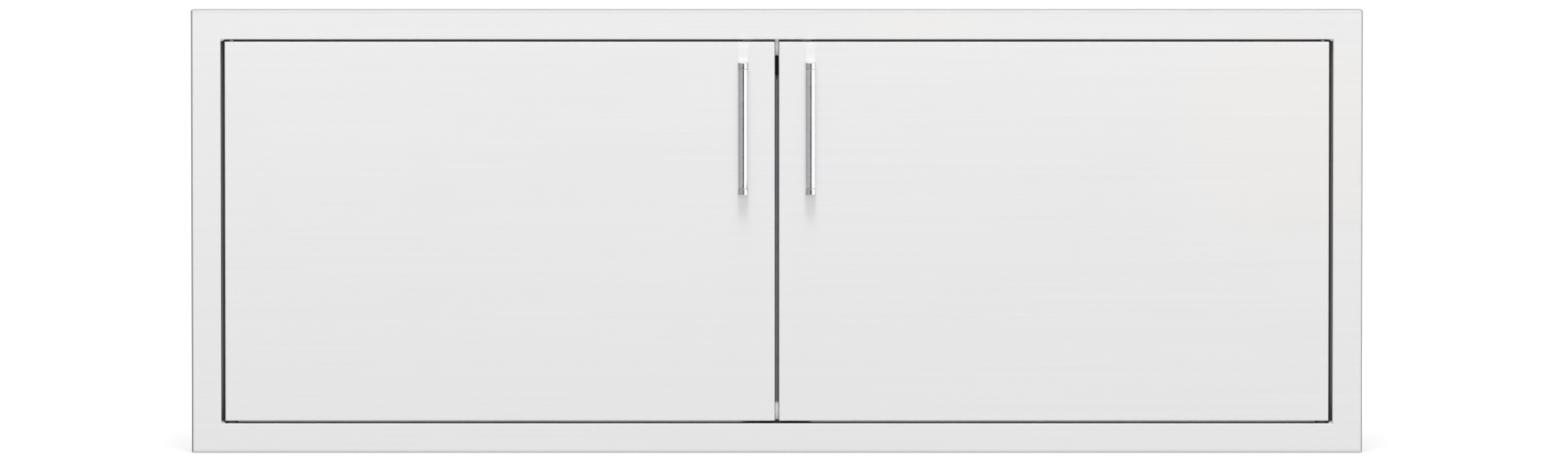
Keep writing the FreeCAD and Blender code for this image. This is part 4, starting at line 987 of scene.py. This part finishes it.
class BuildSprings(bpy.types.Operator):
    """Wind the springs of the pivot pins, each with a mesh of its own; a real one shortens as its pin is
    drawn down
    """

    bl_idname = "accessdoor.build_springs"
    bl_label = "Build Springs"

    WIRE_RADIUS = 0.00045
    TURNS = 8
    CLOSED_TURNS = 0.9

    def execute(self, context):
        for hand, _ in HANDS:
            node = f"{hand}_pin_spring"
            low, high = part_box(node)
            middle = (low + high) / 2
            radius = (high.x - low.x) / 2 - self.WIRE_RADIUS
            loops = spring_loops(radius, self.WIRE_RADIUS, self.TURNS, self.CLOSED_TURNS, low.z, high.z)
            mesh = bmesh.new()
            join_loops(mesh, loops, Matrix.Translation((middle.x, middle.y, 0)))
            name, body = f"{hand}_coil_spring", f"{hand}_door"
            spring = add_piece(name, mesh, body, "spring_steel", node, material="spring_wire", sharp=60)
            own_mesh(spring)
        return {"FINISHED"}


# Rubber and nylon


class BuildSeals(bpy.types.Operator):
    """Build the two rubber strips that close the gap between the doors"""

    bl_idname = "accessdoor.build_seals"
    bl_label = "Build Edge Seals"

    END_CHAMFER = 0.0002
    GROOVE_OFFSET = 0.0022
    RIDGE = ((-0.0006, 0), (-0.00025, 1), (0.00025, 1), (0.0006, 0))

    def execute(self, context):
        for name, hand in HANDS:
            node = f"{name}_edge_seal"
            low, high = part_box(node)
            cut = self.END_CHAMFER
            ends = ((low.z, cut), (low.z + cut, 0), (high.z - cut, 0), (high.z, cut))
            mesh = bmesh.new()
            join_loops(mesh, [self.outline(hand, low, high, height, inset) for height, inset in ends])
            add_piece(f"{name}_meeting_seal", mesh, f"{name}_door", "seal_rubber", node)
        return {"FINISHED"}

    def outline(self, hand, low, high, height, inset):
        """Section of a seal: flat on the door, rounded and ribbed where it meets the other."""
        detail = sizes()
        corner = detail.seal_corner - inset
        reach = high.x - low.x - inset
        front, back = low.y + inset, high.y - inset
        edge = quarter(corner, 6)
        section = [(0, front)]
        section += [(reach - inwards, front + rise) for inwards, rise in edge]
        grooves = [(-self.GROOVE_OFFSET, -detail.seal_groove), (self.GROOVE_OFFSET, -detail.seal_groove)]
        for middle, proud in (grooves[0], (0, detail.seal_fin - inset), grooves[1]):
            section += [(reach + proud * part, middle + off) for off, part in self.RIDGE]
        section += [(reach - inwards, back - rise) for inwards, rise in reversed(edge)]
        section.append((0, back))
        door = low.x if hand < 0 else high.x
        return [Vector((door - hand * out, y, height)) for out, y in section]


class BuildBumpers(bpy.types.Operator):
    """Build the stop's rubber bumpers and the plugs behind the pulls"""

    bl_idname = "accessdoor.build_bumpers"
    bl_label = "Build Bumpers and Plugs"

    PAD = 0.0047
    PAD_RADIUS = 0.0045
    STEM = 0.002
    PLATE = 0.0015
    PLUG_RIM = 0.008
    PLUG_STEM = 0.00645
    PLUG_FACE = 0.001
    PLUG_DEPTH = 0.004

    def execute(self, context):
        low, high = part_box("stop_bumpers")
        mesh = bmesh.new()
        for x in (low.x + self.PAD_RADIUS, high.x - self.PAD_RADIUS):
            at = (x, low.y + self.PAD, (low.z + high.z) / 2)
            turned_profile(mesh, self.bumper_profile(), at, TO_FRONT)
        add_piece("stop_bumper_pads", mesh, "frame", "bumper_rubber", "stop_bumpers", sharp=50)
        for hand, _ in HANDS:
            node = f"{hand}_access_plugs"
            low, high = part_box(node)
            mesh = bmesh.new()
            for z in (low.z + self.PLUG_RIM, high.z - self.PLUG_RIM):
                at = ((low.x + high.x) / 2, high.y - self.PLUG_FACE, z)
                turned_profile(mesh, self.plug_profile(), at, TO_BACK, 48)
            add_piece(f"{hand}_hole_plugs", mesh, f"{hand}_door", "black_nylon", node)
        return {"FINISHED"}

    def bumper_profile(self):
        """From the barb behind the bracket to a domed front with a dimple."""
        stem, pad, radius = self.STEM, self.PAD, self.PAD_RADIUS
        barb, behind = 1.4 * stem, -self.PLATE
        profile = [
            (0.3 * stem, behind - stem),
            (0.6 * stem, behind - 0.97 * stem),
            (0.85 * barb, behind - 0.4 * stem),
            (barb, behind - 0.08 * stem),
            (barb, behind),
            (stem, behind),
            (stem, 0),
            (0.94 * radius, 0),
            (radius, 0.08 * pad),
        ]
        for a in quarter_turn(8):
            profile.append((radius * (0.62 + 0.38 * math.cos(a)), pad * (0.62 + 0.38 * math.sin(a))))
        return profile + [(0.4 * radius, pad), (0.3 * radius, 0.95 * pad), (0.15 * radius, 0.92 * pad)]

    def plug_profile(self):
        """From its hollow stem inside the liner to a low crowned face with a shallow ring."""
        rim, stem, face, depth = self.PLUG_RIM, self.PLUG_STEM, self.PLUG_FACE, self.PLUG_DEPTH
        inside = stem - face
        profile = [(inside, -0.5 * face), (inside, -depth), (0.97 * stem, -depth), (stem, -0.92 * depth)]
        profile += [(stem, 0), (rim, 0)]
        profile += [(rim - inset, face - rise) for inset, rise in reversed(quarter(0.6 * face, 5))]
        return profile + [(0.62 * rim, face), (0.58 * rim, 0.75 * face), (0.2 * rim, 0.7 * face)]


# Magnetic catch


def add_box(mesh, low, high):
    """Box along the axes between two corners; returns its edges."""
    corners = bmesh.ops.create_cube(mesh, size=1)["verts"]
    low, high = Vector(low), Vector(high)
    for vertex in corners:
        vertex.co = (low + high) / 2 + Vector([vertex.co[i] * (high - low)[i] for i in range(3)])
    return list({edge for vertex in corners for edge in vertex.link_edges})


def carved(mesh, tools):
    """Mesh with the tools' volume cut out of it."""
    shapes = (("blank", mesh), ("tools", tools))
    blank, cutter = (add_object(label, mesh_data(label, shape)) for label, shape in shapes)
    cut = blank.modifiers.new("cut", "BOOLEAN")
    cut.operation = "DIFFERENCE"
    cut.solver = "EXACT"
    cut.use_self = True
    cut.object = cutter
    evaluated = blank.evaluated_get(bpy.context.evaluated_depsgraph_get())
    result = bmesh.new()
    result.from_mesh(evaluated.to_mesh())
    for made in (blank, cutter):
        data = made.data
        bpy.data.objects.remove(made)
        bpy.data.meshes.remove(data)
    return result


class BuildCatchHousing(bpy.types.Operator):
    """Mould the catch's black housing, with its magnet pockets, finger ribs and screw holes"""

    bl_idname = "accessdoor.build_catch_housing"
    bl_label = "Build Catch Housing"

    CLEARANCE = 0.00005
    END_CLEARANCE = 0.0003
    OVERCUT = 0.002
    RIB_DEPTH = 0.0008
    RIB_PITCH = 0.0042
    RIB_WIDTH = 0.0012
    RIB_HEIGHT = 0.0014
    RIB_LEVEL = 0.0018
    RIBS = 13

    def execute(self, context):
        low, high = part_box("catch_body")
        mesh = bmesh.new()
        edges = add_box(mesh, low, high)
        edge = sizes().catch_edge
        bmesh.ops.bevel(mesh, geom=edges, offset=edge, segments=3, profile=0.5, affect="EDGES")
        tools = bmesh.new()
        self.add_pockets(tools, low.y - self.OVERCUT)
        self.add_ribs(tools, low, high)
        self.add_bores(tools, high.y + self.OVERCUT)
        add_piece("catch_housing", carved(mesh, tools), "frame", "black_nylon", "catch_body", sharp=40)
        return {"FINISHED"}

    def add_pockets(self, tools, start):
        """Room for each magnet between its pole plates."""
        low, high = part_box("catch_pole_plates")
        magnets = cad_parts["catch_magnets"].data.vertices
        right_one = [vertex.co.x for vertex in magnets if vertex.co.x > 0]
        room = self.CLEARANCE
        inner, outer = high.x - (max(right_one) - min(right_one)) - room, high.x + room
        end = high.y + self.END_CLEARANCE
        for _, hand in HANDS:
            near, far = sorted((hand * inner, hand * outer))
            add_box(tools, (near, start, low.z - room), (far, end, high.z + room))

    def add_ribs(self, tools, low, high):
        """Grooves between the ribs along the top and the bottom of the housing's front."""
        half = Vector((self.RIB_WIDTH / 2, 0, self.RIB_HEIGHT / 2))
        for z in (low.z + self.RIB_LEVEL, high.z - self.RIB_LEVEL):
            for index in range(self.RIBS):
                x = (index - self.RIBS // 2) * self.RIB_PITCH
                front = Vector((x, low.y - self.OVERCUT, z))
                add_box(tools, front - half, Vector((x, low.y + self.RIB_DEPTH, z)) + half)

    def add_bores(self, tools, start):
        low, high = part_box("catch_screws")
        radius, head_radius, _ = BuildFasteners.CATCH_SCREW
        bore = radius + self.CLEARANCE
        depth = start - low.y + self.END_CLEARANCE
        for _, hand in HANDS:
            at = (hand * (high.x - head_radius), start, (low.z + high.z) / 2)
            turned_profile(tools, [(bore, 0), (bore, depth)], at, TO_FRONT, 24)


# Welds


def bead_loops(start, end, radius, out, pitch=0.0011, sides=12):
    """Weld bead along a line, scalloped by the weld pool and tapered at its ends."""
    start, end, out = Vector(start), Vector(end), Vector(out).normalized()
    along = (end - start).normalized()
    side = along.cross(out)
    run = (end - start).length
    count = int(run / pitch * 6)
    loops = []
    for step in range(count + 1):
        at = run * step / count
        scallop = 0.88 + 0.12 * abs(math.sin(math.pi * at / pitch))
        taper = math.sqrt(max(0.02, 1 - abs(2 * step / count - 1) ** 6))
        size = radius * scallop * taper
        centre = start + along * at
        loops.append([centre + size * (out * math.cos(a) + side * math.sin(a)) for a in angles(sides)])
    return loops


class BuildWelds(bpy.types.Operator):
    """Lay the stitches of weld at the surround's corners, and fill the corners of the opening"""

    bl_idname = "accessdoor.build_welds"
    bl_label = "Build Welds"

    STITCHES = 3
    SHEET = 0.0012

    # A filled corner: its width, its height above and below the doors, how far it sinks into the
    # sheet, its outline behind the frame's front, as pairs of depth and inset, and how its curve
    # runs: a power above 1 flattens a quarter circle, and a share fills it out again in the middle
    FILL_WIDTH = 0.0045
    FILL_ABOVE = 0.0023
    FILL_BELOW = 0.0026
    SUNK = 0.0005
    FILL_DEPTHS = ((0.0009, 0.0009), (0.0011, 0.0004), (0.0016, 0), (0.006, 0))
    FLATNESS = 1.5
    FULLNESS = 0.0814

    def execute(self, context):
        detail = sizes()
        low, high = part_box("top_jamb")
        corner_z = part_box("left_jamb")[1].z
        mesh = bmesh.new()
        room = (high.y - low.y - self.STITCHES * detail.weld_length) / (self.STITCHES + 1)
        for _, hand in HANDS:
            for level in (-1, 1):
                for index in range(self.STITCHES):
                    y = low.y + room + index * (detail.weld_length + room)
                    x, z = hand * high.x, level * corner_z
                    line = (x, y, z), (x, y + detail.weld_length, z)
                    join_loops(mesh, bead_loops(*line, detail.weld_radius, (hand, 0, level)))
        add_piece("corner_welds", mesh, "frame", "brushed_stainless", material="weld_bead", sharp=60)
        self.fill_opening_corners()
        return {"FINISHED"}

    def fill_opening_corners(self):
        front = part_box("face_frame")[0].y
        low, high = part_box("left_jamb")
        mesh = bmesh.new()
        for _, hand in HANDS:
            for level, rise in ((1, self.FILL_ABOVE), (-1, self.FILL_BELOW)):
                corner = Vector((-hand * (low.x + self.SHEET), front, level * high.z))
                join_loops(mesh, self.fill_loops(corner, hand, level, rise))
        name = "opening_corner_welds"
        add_piece(name, mesh, "frame", "brushed_stainless", material="dressed_weld", sharp=50)

    def fill_loops(self, corner, hand, level, rise):
        """Weld that fills a corner of the opening, drawn from front to back, with its face dressed round."""
        loops = []
        for depth, inset in self.FILL_DEPTHS:
            width, height = self.FILL_WIDTH - inset, rise - inset
            outline = [(-self.SUNK, -self.SUNK), (width, -self.SUNK)]
            for a in quarter_turn(6):
                full = 1 + self.FULLNESS * math.sin(2 * a)
                across, up = math.cos(a) ** self.FLATNESS, math.sin(a) ** self.FLATNESS
                outline.append((width * across * full, height * up * full))
            outline.append((-self.SUNK, height))
            y = corner.y + depth
            loops.append([Vector((corner.x - hand * x, y, corner.z - level * z)) for x, z in outline])
        return loops


# Studio


def aim(thing, at):
    thing.rotation_euler = (Vector(at) - thing.location).to_track_quat("-Z", "Y").to_euler()


def add_lamp(name, kind, at, energy, **settings):
    """Lamp aimed at the middle of the door."""
    data = bpy.data.lights.new(name, kind)
    for key, value in {"energy": energy, **settings}.items():
        setattr(data, key, value)
    lamp = add_object(name, data)
    lamp.location = at
    aim(lamp, (0, 0, 0))
    return lamp


class SetStage(bpy.types.Operator):
    """Set the camera, the soft lights, the floor and the world"""

    bl_idname = "accessdoor.set_stage"
    bl_label = "Set Stage"

    FLOOR_REACH = 70
    FLOOR_GAP = 0.0001
    KEY_PLACE = (0, -2, 2)
    KEY_ANGLE = math.radians(90)
    SOFTBOX_PLACE = (0, -1.6, 1.5)
    SOFTBOX_SIZE = (3.4, 0.7)

    # What metal mirrors, as compass directions seen from the door and the brightness there: 0 is
    # straight out in front and positive is towards the camera's right, in degrees. The flags stand
    # near the horizon only, with the walls above and below them.
    WALLS = (
        (-180, 1.0), (-110, 0.95), (-95, 0.55), (-20, 0.55), (-10, 1.28),
        (14, 1.28), (28, 0.88), (100, 0.88), (120, 1.0), (180, 1.0),
    )
    FLAGS = (
        (-180, 0.8), (-120, 0.6), (-95, 0.3), (-80, 0.42), (-30, 0.55), (-18, 0.5), (-12, 0.05),
        (19, 0.05), (29, 0.5), (40, 1.8), (85, 1.8), (105, 0.5), (140, 0.5), (180, 0.8),
    )
    CEILING = 0.85
    GROUND = 0.8

    # Heights in the world, as the sine of the elevation, over which one gives way to the next
    FLAG_TOP = (0.02, -0.03)
    FLAG_FOOT = (-0.3, -0.13)
    WALL_TOP = (0.25, 0.6)
    WALL_FOOT = (-0.35, -0.8)

    def execute(self, context):
        context.scene.view_settings.view_transform = "Standard"
        self.set_camera(context.scene)
        key = add_lamp("key", "SUN", self.KEY_PLACE, studio().key_strength, angle=self.KEY_ANGLE)
        key.visible_glossy = False
        width, depth = self.SOFTBOX_SIZE
        shape = {"shape": "RECTANGLE", "size": width, "size_y": depth}
        add_lamp("softbox", "AREA", self.SOFTBOX_PLACE, studio().softbox_power, **shape)
        self.lay_floor()
        self.set_world(context.scene)
        return {"FINISHED"}

    def set_camera(self, scene):
        settings = studio()
        data = bpy.data.cameras.new("camera")
        data.lens = settings.focal_length
        data.clip_end = 200
        low, high = cad_bounds
        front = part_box("face_frame")[0].y
        target = Vector((settings.aim_right, front, (low.z + high.z) / 2 + settings.aim_up))
        distance = settings.view_width * data.lens / data.sensor_width
        rise = settings.elevation
        camera = add_object("camera", data)
        camera.location = target + distance * Vector((0, -math.cos(rise), math.sin(rise)))
        aim(camera, target)
        scene.camera = camera

    def lay_floor(self):
        """Pale floor that keeps the shadow; the camera alone sees it a little lighter."""
        level = cad_bounds[0].z - self.FLOOR_GAP
        reach = self.FLOOR_REACH
        ends = ((-reach, -reach), (reach, -reach), (reach, reach), (-reach, reach))
        corners = [(x, y, level) for x, y in ends]
        data = bpy.data.meshes.new("floor")
        data.from_pydata(corners, [], [(0, 1, 2, 3)])
        floor = add_object("floor", data)
        material, tree, shader = new_material("floor")
        data.materials.append(material)
        grain = stretch(tree, noise(tree, coordinates(tree), 40.0, 4.0), 0.3, 0.7)
        tone = studio().floor
        feed(shader, "Base Color", mix_colour(tree, grain, times(tone, 0.99), tone))
        shader.inputs["Roughness"].default_value = 1
        shader.inputs["Specular IOR Level"].default_value = 0
        seen = add_node(tree, "LightPath").outputs["Is Camera Ray"]
        shader.inputs["Emission Color"].default_value = (1, 1, 1, 1)
        feed(shader, "Emission Strength", calculate(tree, "MULTIPLY", seen, studio().floor_lift))
        floor.visible_glossy = False

    def around(self, tree, compass, stops):
        """Brightness by compass direction, from a ramp."""
        ramp = add_node(tree, "ValToRGB")
        elements = ramp.color_ramp.elements
        while len(elements) < len(stops):
            elements.new(0.5)
        for element, (degrees, _) in zip(elements, stops):
            element.position = degrees / 360 + 0.5
        for element, (_, brightness) in zip(elements, stops):
            element.color = (brightness / 2, brightness / 2, brightness / 2, 1)
        feed(ramp, "Fac", stretch(tree, compass, -math.pi, math.pi))
        return calculate(tree, "MULTIPLY", ramp.outputs["Color"], 2.0)

    def set_world(self, scene):
        """White for the camera; softboxes and darker walls for metal; even light for the rest."""
        world = bpy.data.worlds.new("studio")
        world.use_nodes = True
        tree = world.node_tree
        background = tree.nodes["Background"]
        axes = split(tree, coordinates(tree, "Generated"))
        compass = calculate(tree, "ARCTAN2", axes["X"], calculate(tree, "MULTIPLY", axes["Y"], -1.0))
        height = axes["Z"]
        under, over = (stretch(tree, height, *ends) for ends in (self.FLAG_TOP, self.FLAG_FOOT))
        flagged = calculate(tree, "MULTIPLY", under, over)
        mirrored = self.around(tree, compass, self.WALLS)
        mirrored = fade(tree, flagged, mirrored, self.around(tree, compass, self.FLAGS))
        mirrored = fade(tree, stretch(tree, height, *self.WALL_TOP), mirrored, self.CEILING)
        mirrored = fade(tree, stretch(tree, height, *self.WALL_FOOT), mirrored, self.GROUND)
        rays = add_node(tree, "LightPath").outputs
        shiny = calculate(tree, "MAXIMUM", rays["Is Glossy Ray"], rays["Is Transmission Ray"])
        strength = fade(tree, shiny, studio().room_light, mirrored)
        background.inputs["Color"].default_value = (1, 1, 1, 1)
        feed(background, "Strength", fade(tree, rays["Is Camera Ray"], strength, 1.0))
        scene.world = world


# Add-on


class AccessDoorPanel(bpy.types.Panel):
    """Sidebar panel with the settings and every step"""

    bl_idname = "VIEW3D_PT_access_door"
    bl_label = "Access Door"
    bl_space_type = "VIEW_3D"
    bl_region_type = "UI"
    bl_category = "Access Door"

    def draw(self, context):
        layout = self.layout
        for group in (sizes(), finishes(), studio()):
            box = layout.box()
            for name in type(group).__annotations__:
                box.prop(group, name)
        for step in STEPS:
            layout.operator(step.bl_idname)


SETTINGS = {
    "access_door_sizes": AccessDoorSizes,
    "access_door_finishes": AccessDoorFinishes,
    "access_door_studio": AccessDoorStudio,
}
STEPS = (
    MakeFinishes,
    FinishFrame,
    FinishDoors,
    FinishCatch,
    BuildPulls,
    BuildFasteners,
    BuildSprings,
    BuildSeals,
    BuildBumpers,
    BuildCatchHousing,
    BuildWelds,
    SetStage,
)
CLASSES = (*SETTINGS.values(), *STEPS, AccessDoorPanel)


def register():
    for item in CLASSES:
        bpy.utils.register_class(item)
    for name, group in SETTINGS.items():
        setattr(bpy.types.Scene, name, PointerProperty(type=group))


def unregister():
    for name in SETTINGS:
        delattr(bpy.types.Scene, name)
    for item in reversed(CLASSES):
        bpy.utils.unregister_class(item)


def main():
    register()
    for step in STEPS:
        category, name = step.bl_idname.split(".")
        getattr(getattr(bpy.ops, category), name)()


if __name__ == "__main__":
    main()
